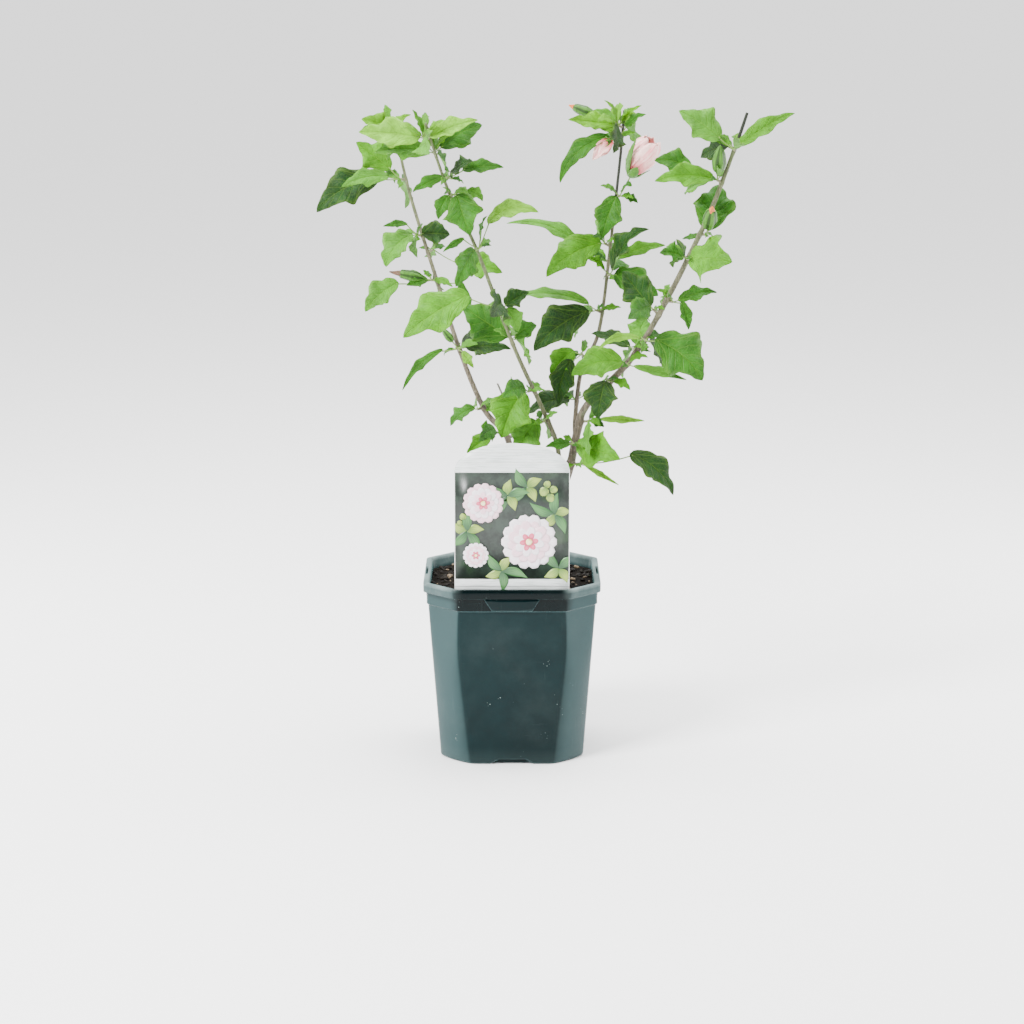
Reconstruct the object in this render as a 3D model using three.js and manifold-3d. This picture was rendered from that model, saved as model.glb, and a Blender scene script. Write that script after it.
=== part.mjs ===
// Young hibiscus shrub standing in a square nursery pot with cut corners.
// Millimetres, +Z up. The origin is the middle of the pot's flat underside, -Y is the front.
import * as THREE from 'three';
import Module from 'manifold-3d';
import { mergeVertices } from 'three/addons/utils/BufferGeometryUtils.js';

// Driving dimensions: the pot. flat and corner are the distances from the axis to the four wide
// faces and to the four corner faces, round is the circle that the section stays inside.
const CLEAR = 0.3;
const LEAST_SCRAP = 0.03;
const SAME_POINT = 1e-4;
const OVERSHOOT = 1;
const POT = {
  height: 175, wall: 2, floor: 7, footEdge: 2, bands: [50, 100], faceSteps: 6, cornerSteps: 4,
  base: { flat: 69, corner: 88, round: 79 },
  neck: { z: 153, flat: 80, corner: 92, round: 97 },
  collar: { flat: 81.5, corner: 93.5, round: 99 },
  rim: { z: 166, flat: 84.5, corner: 98.5, round: 110 },
  rimLip: 4.5, rimBevel: 1.5, rimEdge: 1,
};
const NOTCH = { top: 28, bottom: 42, high: 5, deep: 5, cutter: 40 };
const TAB = { top: 54, bottom: 38, thick: 1.2, underRim: 0.5 };
const RIM_SLOT = { long: 30, wide: 2.4, deep: 5, inset: 2.2 };
const SOIL = { edge: 165, middle: 167, middleShare: 0.35, collar: 166.4, collarShare: 0.7 };
const CARD = {
  width: 108, shoulder: 288, top: 314, arcSteps: 12, thick: 1, front: -75.8,
  aboveSoil: 3, tailWidth: 70, tailEnd: 138,
};

// Driving dimensions: the limbs. A limb starts on the soil, on the limb below it, or in that limb's
// side at a height and heading. Its course is the few places it passes, as [x, y, z].
const LIMBS = {
  trunk: { foot: [15, 8, SOIL.middle + CLEAR], course: [[18, 8, 186], [24, 8, 212]], thick: [15, 10.5] },
  stem_d: {
    onto: 'trunk', thick: [9.6, 2.6],
    course: [
      [52, 7, 264], [63, 1, 312], [73, -5, 340], [120, -20, 395],
      [175, -42, 506], [203, -55, 581], [215, -60, 618],
    ],
  },
  stem_a: {
    from: 'trunk', at: 196, turn: 165, thick: [8, 2.4],
    course: [
      [2, 8, 250], [-4, 12, 302], [-26, 21, 328], [-48, 38, 377],
      [-71, 58, 444], [-99, 83, 530], [-114, 98, 592],
    ],
  },
  stem_b: {
    from: 'stem_d', at: 266, turn: 215, thick: [5.4, 2.4],
    course: [
      [43, -4, 300], [27, -12, 340], [1, -32, 400], [-33, -62, 494], [-58, -82, 549], [-78, -98, 611],
    ],
  },
  stem_c: {
    from: 'stem_d', at: 296, turn: 80, thick: [5.2, 2.2],
    course: [[61, 17, 322], [67, 25, 367], [84, 36, 404], [95, 52, 485], [105, 70, 573], [108, 76, 612]],
  },
  dead_stub: {
    from: 'stem_a', at: 303, turn: 20, thick: [3, 1.8],
    course: [[3, 12, 318], [-8, 8, 343], [-14, 6, 357]],
  },
};
const LIMB = { sides: 8, steps: 3, flare: 1.35, elbowOut: 0.8, elbowUp: 0.3 };
const HALVINGS = 40;
const COURSE_STEP = 0.01;

// Driving dimensions: the foliage. Each spray stands on a limb at a height and bears the leaves
// listed for it. turn is a leaf's heading from above (0 right, 90 back, 180 left, 270 front), dip is
// the rise of its blade where it begins, long and broad are its length and its breadth against that
// length, stalk and rise set its stalk, droop is how far the blade bends down, and face is how far
// its upper side is turned from the sky to the viewer. more adds leaves by the seeded rule.
const LEAF = { stalk: 7, rise: 15, droop: 25, face: 62, broad: 0.5, lobe: 0.35 };
const SPRAYS = [
  {
    on: 'stem_a', at: 310, more: 1,
    leaves: [{ turn: 208, rise: -5, stalk: 9, dip: -25, long: 30, broad: 0.62, droop: 15 }],
  },
  {
    on: 'stem_a', at: 331, more: 1,
    leaves: [{ turn: 188, stalk: 3, dip: -5, long: 30, broad: 0.65, droop: 60, face: 30 }],
  },
  {
    on: 'stem_a', at: 384, more: 1, bud: { turn: 196, rise: 52, stalk: 10, long: 16 },
    leaves: [
      { turn: 190, rise: 0, stalk: 15, dip: -32, long: 56, broad: 0.18 },
      { turn: 345, stalk: 8, dip: 8, long: 45, broad: 0.42, droop: 14 },
      { turn: 320, rise: -20, stalk: 6, dip: -35, long: 20 },
    ],
  },
  {
    on: 'stem_a', at: 450, more: 1, bud: { turn: 185, rise: 12, stalk: 8, long: 34 },
    leaves: [
      { turn: 188, rise: -4, stalk: 32, dip: -15, long: 44, broad: 0.6, droop: 50 },
      { turn: 200, rise: 10, stalk: 4, dip: 0, long: 22, broad: 0.6 },
      { turn: 350, rise: 0, stalk: 27, dip: -62, long: 42, broad: 0.32 },
    ],
  },
  {
    on: 'stem_a', at: 476, more: 1,
    leaves: [{ turn: 345, rise: -28, stalk: 32, dip: 5, long: 42, broad: 0.62, face: 70, lobe: 0.6 }],
  },
  {
    on: 'stem_a', at: 492, more: 1,
    leaves: [
      { turn: 200, rise: 5, stalk: 5, dip: -10, long: 44, broad: 0.7, droop: 75, face: 35 },
      { turn: 208, rise: 45, stalk: 16, dip: 10, long: 26, broad: 0.3 },
      { turn: 10, stalk: 4, dip: 12, long: 28, broad: 0.9, droop: 30 },
    ],
  },
  {
    on: 'stem_a', at: 545, more: 1,
    leaves: [
      { turn: 192, rise: 6, stalk: 22, dip: -14, long: 70, broad: 0.5 },
      { turn: 180, rise: 45, stalk: 14, dip: 42, long: 42, broad: 0.72, droop: 8, face: 80, lobe: 0.6 },
      { turn: 212, rise: 15, stalk: 14, dip: -2, long: 52, broad: 0.36, droop: 12 },
    ],
  },
  {
    on: 'stem_a', at: 588, more: 2,
    leaves: [
      { turn: 195, rise: 30, stalk: 3, dip: 40, long: 30, broad: 0.7, face: 70 },
      { turn: 120, rise: 70, stalk: 14, dip: 70, long: 18, broad: 0.5 },
    ],
  },

  { on: 'stem_b', at: 324, more: 1, leaves: [{ turn: 200, stalk: 5, dip: -46, long: 37, broad: 0.9 }] },
  {
    on: 'stem_b', at: 355, more: 1,
    leaves: [{ turn: 205, rise: 10, stalk: 5, dip: -50, long: 50, broad: 0.85, face: 60 }],
  },
  {
    on: 'stem_b', at: 402, more: 1,
    leaves: [
      { turn: 162, rise: 30, stalk: 4, dip: 36, long: 52, broad: 0.8, droop: 10, face: 75 },
      { turn: 25, rise: 30, stalk: 4, dip: 35, long: 26, broad: 0.7, face: 75 },
    ],
  },
  {
    on: 'stem_b', at: 436, more: 1,
    leaves: [
      { turn: 190, rise: 22, stalk: 34, dip: -20, long: 74, broad: 0.52, droop: 22 },
      { turn: 350, rise: 40, stalk: 3, dip: 45, long: 26, broad: 0.8, face: 60 },
      { turn: 325, rise: 0, stalk: 4, dip: -45, long: 25, broad: 0.75, face: 60 },
    ],
  },
  {
    on: 'stem_b', at: 494, more: 1,
    leaves: [
      { turn: 350, rise: 70, stalk: 25, dip: 56, long: 53, broad: 0.34, droop: 84 },
      { turn: 300, rise: 70, stalk: 8, dip: 80, long: 26, broad: 0.35, face: 70 },
      { turn: 205, rise: 35, stalk: 18, dip: -15, long: 24, broad: 0.3 },
    ],
  },
  {
    on: 'stem_b', at: 545, more: 1,
    leaves: [
      { turn: 310, rise: 5, stalk: 6, dip: -50, long: 40, broad: 0.85, lobe: 0.5, face: 40 },
      { turn: 205, rise: -5, stalk: 4, dip: -50, long: 24, broad: 0.6 },
      { turn: 345, rise: 15, stalk: 14, dip: 0, long: 18, broad: 0.6, droop: 60 },
    ],
  },
  {
    on: 'stem_b', at: 560,
    leaves: [
      { turn: 190, stalk: 4, dip: -12, long: 31, broad: 0.42 },
      { turn: 320, rise: 35, stalk: 4, dip: 45, long: 30, broad: 0.8, face: 45 },
      { turn: 350, rise: 28, stalk: 16, dip: 18, long: 38, broad: 0.37 },
    ],
  },
  {
    on: 'stem_b', at: 582, more: 1,
    leaves: [
      { turn: 190, rise: 10, stalk: 4, dip: 6, long: 50, broad: 0.46, droop: 10 },
      { turn: 25, rise: 30, stalk: 8, dip: 38, long: 46, broad: 0.6, face: 60 },
    ],
  },
  {
    on: 'stem_b', at: 598, more: 1,
    leaves: [
      { turn: 182, rise: 15, stalk: 5, dip: 12, long: 56, broad: 0.52, droop: 14 },
      { turn: 215, rise: 60, stalk: 6, dip: 75, long: 24, broad: 0.35, face: 70 },
      { turn: 355, rise: 20, stalk: 4, dip: 26, long: 46, broad: 0.4, droop: 12 },
    ],
  },

  {
    on: 'stem_c', at: 338, more: 1,
    leaves: [
      { turn: 24, rise: 20, stalk: 8, dip: 20, long: 25, broad: 0.52 },
      { turn: 170, rise: 7, stalk: 5, dip: -6, long: 46, broad: 0.52, face: 48 },
    ],
  },
  {
    on: 'stem_c', at: 378, more: 1,
    leaves: [
      { turn: 185, rise: 25, stalk: 8, dip: -28, long: 34, broad: 0.7, droop: 40 },
      { turn: 212, rise: -18, stalk: 13, dip: -60, long: 46, broad: 0.55 },
    ],
  },
  {
    on: 'stem_c', at: 421, more: 1,
    leaves: [
      { turn: 188, rise: 0, stalk: 8, dip: -25, long: 66, broad: 0.58, droop: 18 },
      { turn: 180, rise: 40, stalk: 10, dip: 30, long: 84, broad: 0.2, droop: 55, face: 40 },
    ],
  },
  {
    on: 'stem_c', at: 456, more: 1,
    leaves: [
      { turn: 225, rise: 30, stalk: 9, dip: 42, long: 28, broad: 0.42 },
      { turn: 340, rise: 0, stalk: 4, dip: -10, long: 48, broad: 0.65, face: 60 },
      { turn: 320, rise: 50, stalk: 4, dip: 65, long: 60, broad: 0.45, droop: 30 },
    ],
  },
  {
    on: 'stem_c', at: 468, more: 1,
    leaves: [
      { turn: 166, rise: 9, stalk: 14, dip: 43, long: 97, broad: 0.14, droop: 43 },
      { turn: 12, rise: 20, stalk: 10, dip: 20, long: 50, broad: 0.28, droop: 12 },
    ],
  },
  {
    on: 'stem_c', at: 484, more: 1,
    leaves: [{ turn: 203, rise: 8, stalk: 4, dip: 5, long: 68, broad: 0.48, droop: 62 }],
  },
  {
    on: 'stem_c', at: 530, bloom: { turn: 330, rise: 59, stalk: 22, long: 44 },
    leaves: [
      { turn: 205, rise: 5, stalk: 4, dip: -62, long: 43, broad: 0.62, droop: 15 },
      { turn: 350, rise: -10, stalk: 5, dip: -10, long: 14, broad: 0.6 },
    ],
  },
  {
    on: 'stem_c', at: 584, more: 1, bud: { turn: 190, rise: -20, stalk: 6, long: 26 },
    leaves: [
      { turn: 182, rise: 10, stalk: 8, dip: 0, long: 72, broad: 0.26, droop: 85 },
      { turn: 325, rise: 50, stalk: 14, dip: 45, long: 26, broad: 0.45 },
    ],
  },
  {
    on: 'stem_c', at: 596, bud: { turn: 175, rise: 22, stalk: 26, long: 26 }, more: 2,
    leaves: [
      { turn: 190, rise: 20, stalk: 4, dip: 12, long: 46, broad: 0.42, droop: 12 },
      { turn: 220, rise: 60, stalk: 4, dip: 70, long: 26, broad: 0.35 },
      { turn: 340, rise: 50, stalk: 4, dip: 55, long: 26, broad: 0.35 },
    ],
  },

  {
    on: 'stem_d', at: 280,
    leaves: [
      { turn: 355, rise: 12, stalk: 50, dip: -18, long: 60, broad: 0.42, droop: 50 },
      { turn: 335, rise: -5, stalk: 6, dip: -15, long: 40, broad: 0.16, droop: 20 },
    ],
  },
  {
    on: 'stem_d', at: 300,
    leaves: [
      { turn: 322, rise: -15, stalk: 3, dip: 0, long: 50, broad: 0.7, droop: 15, lobe: 0.5 },
      { turn: 205, rise: 10, stalk: 4, dip: 12, long: 26, broad: 0.45 },
    ],
  },
  {
    on: 'stem_d', at: 322, more: 1,
    leaves: [
      { turn: 5, rise: 8, stalk: 12, dip: 3, long: 44, broad: 0.2, droop: 10 },
      { turn: 340, rise: 10, stalk: 4, dip: -10, long: 14, broad: 0.7 },
    ],
  },
  {
    on: 'stem_d', at: 362,
    leaves: [{ turn: 244, rise: 5, stalk: 6, dip: -50, long: 38, broad: 0.85, face: 12 }],
  },
  {
    on: 'stem_d', at: 380,
    leaves: [
      { turn: 188, rise: 20, stalk: 4, dip: 15, long: 52, broad: 0.58, droop: 55 },
      { turn: 345, rise: -12, stalk: 7, dip: -18, long: 52, broad: 0.2, droop: -12 },
    ],
  },
  {
    on: 'stem_d', at: 390, more: 1,
    leaves: [
      { turn: 155, rise: 25, stalk: 5, dip: 22, long: 42, broad: 0.42, droop: 10, face: 40 },
      { turn: 60, rise: 55, stalk: 5, dip: 60, long: 32, broad: 0.8, face: 25 },
    ],
  },
  {
    on: 'stem_d', at: 404, more: 1,
    leaves: [
      { turn: 348, rise: 5, stalk: 10, dip: -22, long: 60, broad: 0.78, droop: 35, lobe: 0.5 },
      { turn: 195, rise: 20, stalk: 5, dip: 12, long: 44, broad: 0.2, droop: 50 },
    ],
  },
  {
    on: 'stem_d', at: 428, more: 1,
    leaves: [{ turn: 150, rise: 45, stalk: 4, dip: 50, long: 44, broad: 0.7, droop: 8, face: 70 }],
  },
  {
    on: 'stem_d', at: 442, more: 1,
    leaves: [
      { turn: 5, rise: 15, stalk: 5, dip: 18, long: 38, broad: 0.4, droop: 10 },
      { turn: 345, rise: 5, stalk: 8, dip: -60, long: 28, broad: 0.45 },
    ],
  },
  {
    on: 'stem_d', at: 482, more: 1,
    leaves: [
      { turn: 318, rise: 10, stalk: 3, dip: 14, long: 48, broad: 0.95, lobe: 0.6, face: 55 },
      { turn: 205, rise: 15, stalk: 4, dip: 25, long: 26, broad: 0.7 },
    ],
  },
  {
    on: 'stem_d', at: 506, bud: { turn: 276, rise: 44, stalk: 10, long: 32 },
    leaves: [{ turn: 70, rise: 18, stalk: 9, dip: 60, long: 50, broad: 0.8, droop: 10, face: 5 }],
  },
  {
    on: 'stem_d', at: 554, more: 1, bud: { turn: 275, rise: 66, stalk: 8, long: 28 },
    leaves: [
      { turn: 192, rise: 15, stalk: 3, dip: 10, long: 56, broad: 0.42, droop: 20 },
      { turn: 168, rise: 22, stalk: 26, dip: 25, long: 36, broad: 0.6, face: 60 },
    ],
  },
  {
    on: 'stem_d', at: 584, more: 1,
    leaves: [
      { turn: 178, rise: 40, stalk: 16, dip: 32, long: 46, broad: 0.65, droop: -4, face: 70 },
      { turn: 355, rise: 45, stalk: 5, dip: 45, long: 60, broad: 0.3, droop: 25 },
    ],
  },
];

// Fixed sizes of the foliage
const SPUR = { long: 3.5, up: 0.3, thick: 2.6, sides: 4, sunk: 1 };
const STALK = { thick: 1.5, sides: 3, narrowing: [1, 0.9, 0.8], intoBud: 0.1 };
const BLADE = {
  thick: 1.2, least: 0.5, lean: 0.7, full: 0.7, stations: [0.12, 0.34, 0.47, 0.6, 0.8, 1],
  small: 32, smallStations: [0.2, 0.45, 0.74, 1],
};
// A lobe stands at a share of the blade's length and reaches forward; a margin waves along it
const LOBE = { at: 0.43, spread: 0.1, forward: 0.09, forwardSpread: 0.13 };
const WAVES = { count: 1.6, rightOffset: 1.3 };
const LEAST_DROOP = 1e-6;
const BUD = { sides: 6, profile: [[0, 0.3], [0.12, 0.8], [0.35, 1], [0.7, 0.75], [1, 0.14]], slim: 0.24 };
const BLOOM = {
  sides: 9, profile: [[0, 0.2], [0.1, 0.5], [0.3, 0.72], [0.62, 1], [0.85, 0.92], [1, 0.45]], slim: 0.33,
};

// The seeded rule: ranges are from the least to the most. HABIT shapes every leaf, and EXTRA adds
// leaves to the back and front of a spray, where they stay apart from other leaves and from limbs.
const HABIT = {
  twist: [-25, 25], twistFrom: 0.3, fold: [8, 24], wave: [0.08, 0.22], phase: [0, 2 * Math.PI],
};
const EXTRA = {
  tries: 12, apart: 7.5, limbApart: 6, swing: [-40, 40], dip: [-40, 10], rise: 30,
  least: 24, ofLead: [0.25, 0.45], stalk: 8, broad: 0.55, back: 90, front: 270,
};
const SEED = { first: 1000, step: 37 };
const SAMPLE_SHARES = [0.1, 0.3, 0.5, 0.7, 0.9, 1];
const LIMB_SAMPLES = 8;

const COLOURS = {
  pot: [0x2f4449, 0.3], soil: [0x2a1f17, 0.95], card: [0xe4e8e4, 0.45],
  bark: [0x7a7460, 0.85], leaf: [0x5d9a3f, 0.6],
};

const radians = THREE.MathUtils.degToRad;
const wasm = await Module();
wasm.setup();

// Closed meshes to solids and back
function closedGeometry(points, triangles) {
  const geometry = new THREE.BufferGeometry();
  geometry.setAttribute('position', new THREE.Float32BufferAttribute(points.flat(), 3));
  geometry.setIndex(triangles.flat());
  return geometry;
}

function toSolid(geometry) {
  const bare = geometry.clone();
  bare.deleteAttribute('normal');
  bare.deleteAttribute('uv');
  const merged = mergeVertices(bare, SAME_POINT);
  const vertProperties = new Float32Array(merged.attributes.position.array);
  const triVerts = new Uint32Array(merged.index.array);
  return new wasm.Manifold(new wasm.Mesh({ numProp: 3, vertProperties, triVerts }));
}

// Scraps finer than LEAST_SCRAP, which joining leaves where surfaces meet, are smoothed away
function toGeometry(solid) {
  const mesh = solid.asOriginal().simplify(LEAST_SCRAP).getMesh();
  const geometry = new THREE.BufferGeometry();
  geometry.setAttribute('position', new THREE.Float32BufferAttribute(mesh.vertProperties, 3));
  geometry.setIndex(new THREE.Uint32BufferAttribute(mesh.triVerts, 1));
  geometry.computeVertexNormals();
  return geometry;
}

function named(name, geometry, [color, roughness]) {
  const mesh = new THREE.Mesh(geometry, new THREE.MeshStandardMaterial({ color, roughness }));
  mesh.name = name;
  return mesh;
}

// Rings of equal size joined into one closed body, with a middle point at each end. The rings run
// up the body, or down it where downward is set. Where thin is set, the second half of each ring is
// split the mirrored way, so that the two sides of a thin body run side by side and never cross.
function joinRings(rings, firstMiddle, lastMiddle, { downward = false, thin = false } = {}) {
  const count = rings[0].length;
  const points = [...rings.flat(), firstMiddle, lastMiddle];
  const first = points.length - 2;
  const last = points.length - 1;
  const triangles = [];
  rings.forEach((ring, row) => {
    for (let i = 0; i < count; i++) {
      const j = (i + 1) % count;
      const here = row * count;
      const next = here + count;
      if (row === 0) triangles.push([first, j, i]);
      if (row === rings.length - 1) {
        triangles.push([last, here + i, here + j]);
      } else if (thin && i >= count / 2) {
        triangles.push([here + i, here + j, next + i], [here + j, next + j, next + i]);
      } else {
        triangles.push([here + i, here + j, next + j], [here + i, next + j, next + i]);
      }
    }
  });
  if (downward) triangles.forEach((triangle) => triangle.reverse());
  return closedGeometry(points, triangles);
}

// The pot's section: a square with cut corners, pulled in where it passes the circle
function potSection({ flat, corner, round }, z) {
  const along = corner * Math.SQRT2 - flat;
  const ring = [];
  for (let side = 0; side < 4; side++) {
    const quarter = new THREE.Matrix4().makeRotationZ((side * Math.PI) / 2);
    const ends = [[flat, -along], [flat, along], [along, flat]].map(([x, y]) => new THREE.Vector3(x, y, 0));
    for (const [from, to, steps] of [[ends[0], ends[1], POT.faceSteps], [ends[1], ends[2], POT.cornerSteps]]) {
      for (let i = 0; i < steps; i++) {
        const point = from.clone().lerp(to, i / steps).applyMatrix4(quarter);
        point.multiplyScalar(Math.min(1, round / point.length()));
        ring.push([point.x, point.y, z]);
      }
    }
  }
  return ring;
}

function wallSizes(z, inset = 0) {
  const share = z / POT.neck.z;
  const sizes = {};
  for (const key of ['flat', 'corner', 'round']) {
    sizes[key] = THREE.MathUtils.lerp(POT.base[key], POT.neck[key], share) - inset;
  }
  return sizes;
}

function inset(sizes, by) {
  return { flat: sizes.flat - by, corner: sizes.corner - by, round: sizes.round - by };
}

// A flat outline in the XZ plane, thick along Y, turned about the axis
function uprightPlate(outline, thick, front, turn) {
  const shape = new THREE.Shape(outline.map(([x, z]) => new THREE.Vector2(x, z)));
  const plate = new THREE.ExtrudeGeometry(shape, { depth: thick, bevelEnabled: false });
  plate.rotateX(Math.PI / 2);
  plate.translate(0, front + thick, 0);
  plate.rotateZ(turn);
  return plate;
}

function makePot() {
  const { height, rim, neck, collar, rimLip, rimBevel, rimEdge, floor, wall, footEdge, bands } = POT;
  const rings = [
    potSection(inset(wallSizes(0), footEdge), 0), potSection(wallSizes(footEdge), footEdge),
    ...bands.map((z) => potSection(wallSizes(z), z)),
    potSection(neck, neck.z), potSection(collar, neck.z + rimEdge), potSection(collar, rim.z - rimEdge),
    potSection(inset(rim, rimEdge), rim.z), potSection(rim, rim.z + rimEdge),
    potSection(rim, height - rimEdge), potSection(inset(rim, rimEdge), height),
    potSection(inset(rim, rimLip), height), potSection(inset(rim, rimLip + rimBevel), height - rimBevel),
    potSection(inset(neck, wall), neck.z),
    ...[...bands].reverse().map((z) => potSection(wallSizes(z, wall), z)),
    potSection(wallSizes(floor, wall), floor),
  ];
  let solid = toSolid(joinRings(rings, [0, 0, 0], [0, 0, floor]));
  for (let side = 0; side < 4; side++) {
    const turn = (side * Math.PI) / 2;
    const notch = [
      [-NOTCH.bottom / 2, -OVERSHOOT], [NOTCH.bottom / 2, -OVERSHOOT],
      [NOTCH.top / 2, NOTCH.high], [-NOTCH.top / 2, NOTCH.high],
    ];
    const notchFront = NOTCH.deep - POT.base.flat - NOTCH.cutter;
    solid = solid.subtract(toSolid(uprightPlate(notch, NOTCH.cutter, notchFront, turn)));
    const tab = [
      [-TAB.bottom / 2, neck.z + rimEdge], [TAB.bottom / 2, neck.z + rimEdge],
      [TAB.top / 2, rim.z + TAB.underRim], [-TAB.top / 2, rim.z + TAB.underRim],
    ];
    solid = solid.add(toSolid(uprightPlate(tab, TAB.thick + OVERSHOOT, -collar.flat - TAB.thick, turn)));
  }
  for (const side of [-1, 1]) {
    const slot = new THREE.BoxGeometry(RIM_SLOT.wide, RIM_SLOT.long, 2 * RIM_SLOT.deep);
    slot.translate(side * (rim.flat - RIM_SLOT.inset), 0, height);
    solid = solid.subtract(toSolid(slot));
  }
  return toGeometry(solid);
}

function cardOutline(margin = 0) {
  const { width, shoulder, top, arcSteps, aboveSoil, tailWidth, tailEnd } = CARD;
  const half = width / 2 + margin;
  const tail = tailWidth / 2 + margin;
  const tailTop = SOIL.edge + aboveSoil - margin;
  const outline = [[-tail, tailEnd - margin], [tail, tailEnd - margin], [tail, tailTop], [half, tailTop]];
  for (let i = 0; i <= arcSteps; i++) {
    const angle = (Math.PI * i) / arcSteps;
    outline.push([half * Math.cos(angle), shoulder + (top - shoulder) * Math.sin(angle)]);
  }
  outline.push([-half, tailTop], [-tail, tailTop]);
  return outline;
}

function makeCard() {
  return uprightPlate(cardOutline(), CARD.thick, CARD.front, 0);
}

// The potting mix fills the pot, is cut for the card's tail and lies nearly level at the trunk
function makeSoil() {
  const bottom = POT.floor + CLEAR;
  const top = inset(POT.neck, POT.wall + 2 * CLEAR);
  const scaled = (share, z) => potSection(top, z).map(([x, y]) => [x * share, y * share, z]);
  const rings = [
    scaled(SOIL.middleShare, SOIL.middle), scaled(SOIL.collarShare, SOIL.collar), potSection(top, SOIL.edge),
    potSection(inset(POT.neck, POT.wall + CLEAR), POT.neck.z),
    ...[...POT.bands].reverse().map((z) => potSection(wallSizes(z, POT.wall + CLEAR), z)),
    potSection(wallSizes(bottom, POT.wall + CLEAR), bottom),
  ];
  const soil = toSolid(joinRings(rings, [0, 0, SOIL.middle], [0, 0, bottom], { downward: true }));
  const slot = uprightPlate(cardOutline(CLEAR), CARD.thick + 2 * CLEAR, CARD.front - CLEAR, 0);
  return toGeometry(soil.subtract(toSolid(slot)));
}

// Limb courses: a smooth curve through the listed places
function smoothPoint(places, along) {
  const last = places.length - 1;
  const span = Math.min(Math.floor(along), last - 1);
  const t = along - span;
  const near = [span - 1, span, span + 1, span + 2];
  const [a, b, c, d] = near.map((i) => places[Math.min(Math.max(i, 0), last)]);
  return b.map((_, k) => {
    const linear = 2 * b[k] + (c[k] - a[k]) * t;
    const square = (2 * a[k] - 5 * b[k] + 4 * c[k] - d[k]) * t * t;
    return 0.5 * (linear + square + (3 * b[k] - a[k] - 3 * c[k] + d[k]) * t * t * t);
  });
}

function limbAt(limb, height) {
  let low = 0;
  let high = limb.places.length - 1;
  for (let i = 0; i < HALVINGS; i++) {
    const middle = (low + high) / 2;
    if (smoothPoint(limb.places, middle)[2] < height) low = middle;
    else high = middle;
  }
  const along = (low + high) / 2;
  const share = along / (limb.places.length - 1);
  const axis = new THREE.Vector3(...smoothPoint(limb.places, along + COURSE_STEP))
    .sub(new THREE.Vector3(...smoothPoint(limb.places, along - COURSE_STEP))).normalize();
  return {
    point: new THREE.Vector3(...smoothPoint(limb.places, along)), axis,
    radius: THREE.MathUtils.lerp(limb.thick[0], limb.thick[1], share) / 2,
  };
}

// The place beside a limb where a side growth begins, and the direction straight out of the bark
function sideOf(limb, height, turn, clear) {
  const { point, axis, radius } = limbAt(limb, height);
  const out = new THREE.Vector3(Math.cos(turn), Math.sin(turn), 0);
  out.addScaledVector(axis, -out.dot(axis)).normalize();
  return { start: point.clone().addScaledVector(out, radius + clear), out };
}

function layLimbs() {
  const limbs = {};
  for (const [name, limb] of Object.entries(LIMBS)) {
    const places = [];
    if (limb.foot) places.push(limb.foot);
    let firstAxis = new THREE.Vector3(0, 0, 1);
    if (limb.onto) {
      const under = limbs[limb.onto];
      firstAxis = limbAt(under, under.course[under.course.length - 1][2]).axis;
      const top = under.places[under.places.length - 1];
      places.push(top.map((value, k) => value + firstAxis.getComponent(k) * CLEAR));
    }
    if (limb.from) {
      const side = sideOf(limbs[limb.from], limb.at, radians(limb.turn), 2 * CLEAR);
      const elbow = side.start.clone().addScaledVector(side.out, limb.thick[0] * LIMB.elbowOut);
      elbow.z += limb.thick[0] * LIMB.elbowUp;
      places.push(side.start.toArray(), elbow.toArray());
      firstAxis = side.out;
    }
    limbs[name] = { ...limb, firstAxis, places: [...places, ...limb.course] };
  }
  return limbs;
}

// A round tube along a path, its rings kept from turning about it. Its ends may be given an axis.
function tube(path, radii, sides, firstAxis, lastAxis) {
  let across = null;
  const rings = path.map((point, i) => {
    const before = path[Math.max(i - 1, 0)];
    const after = path[Math.min(i + 1, path.length - 1)];
    let axis = after.clone().sub(before).normalize();
    if (i === 0 && firstAxis) axis = firstAxis.clone();
    if (i === path.length - 1 && lastAxis) axis = lastAxis.clone();
    if (!across) across = new THREE.Vector3(...(Math.abs(axis.x) < 0.9 ? [1, 0, 0] : [0, 1, 0]));
    across = across.clone().addScaledVector(axis, -across.dot(axis)).normalize();
    const other = axis.clone().cross(across);
    const ring = [];
    for (let k = 0; k < sides; k++) {
      const angle = (2 * Math.PI * k) / sides;
      const corner = point.clone().addScaledVector(across, radii[i] * Math.cos(angle));
      ring.push(corner.addScaledVector(other, radii[i] * Math.sin(angle)).toArray());
    }
    return ring;
  });
  return joinRings(rings, path[0].toArray(), path[path.length - 1].toArray());
}

function makeLimb(limb, name) {
  const spans = limb.places.length - 1;
  const path = [];
  const radii = [];
  for (let i = 0; i <= spans * LIMB.steps; i++) {
    const along = i / LIMB.steps;
    path.push(new THREE.Vector3(...smoothPoint(limb.places, along)));
    const flare = name === 'trunk' ? 1 + (LIMB.flare - 1) * Math.max(0, 1 - along) ** 2 : 1;
    radii.push((THREE.MathUtils.lerp(limb.thick[0], limb.thick[1], along / spans) / 2) * flare);
  }
  const lastAxis = limbAt(limb, limb.course[limb.course.length - 1][2]).axis;
  return tube(path, radii, LIMB.sides, limb.firstAxis, lastAxis);
}

// Seeded numbers from 0 to 1, the same on every run
function seededNumbers(seed) {
  let state = seed >>> 0;
  return () => {
    state = (state + 0x6d2b79f5) >>> 0;
    let mixed = Math.imul(state ^ (state >>> 15), state | 1);
    mixed ^= mixed + Math.imul(mixed ^ (mixed >>> 7), mixed | 61);
    return ((mixed ^ (mixed >>> 14)) >>> 0) / 4294967296;
  };
}

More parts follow.
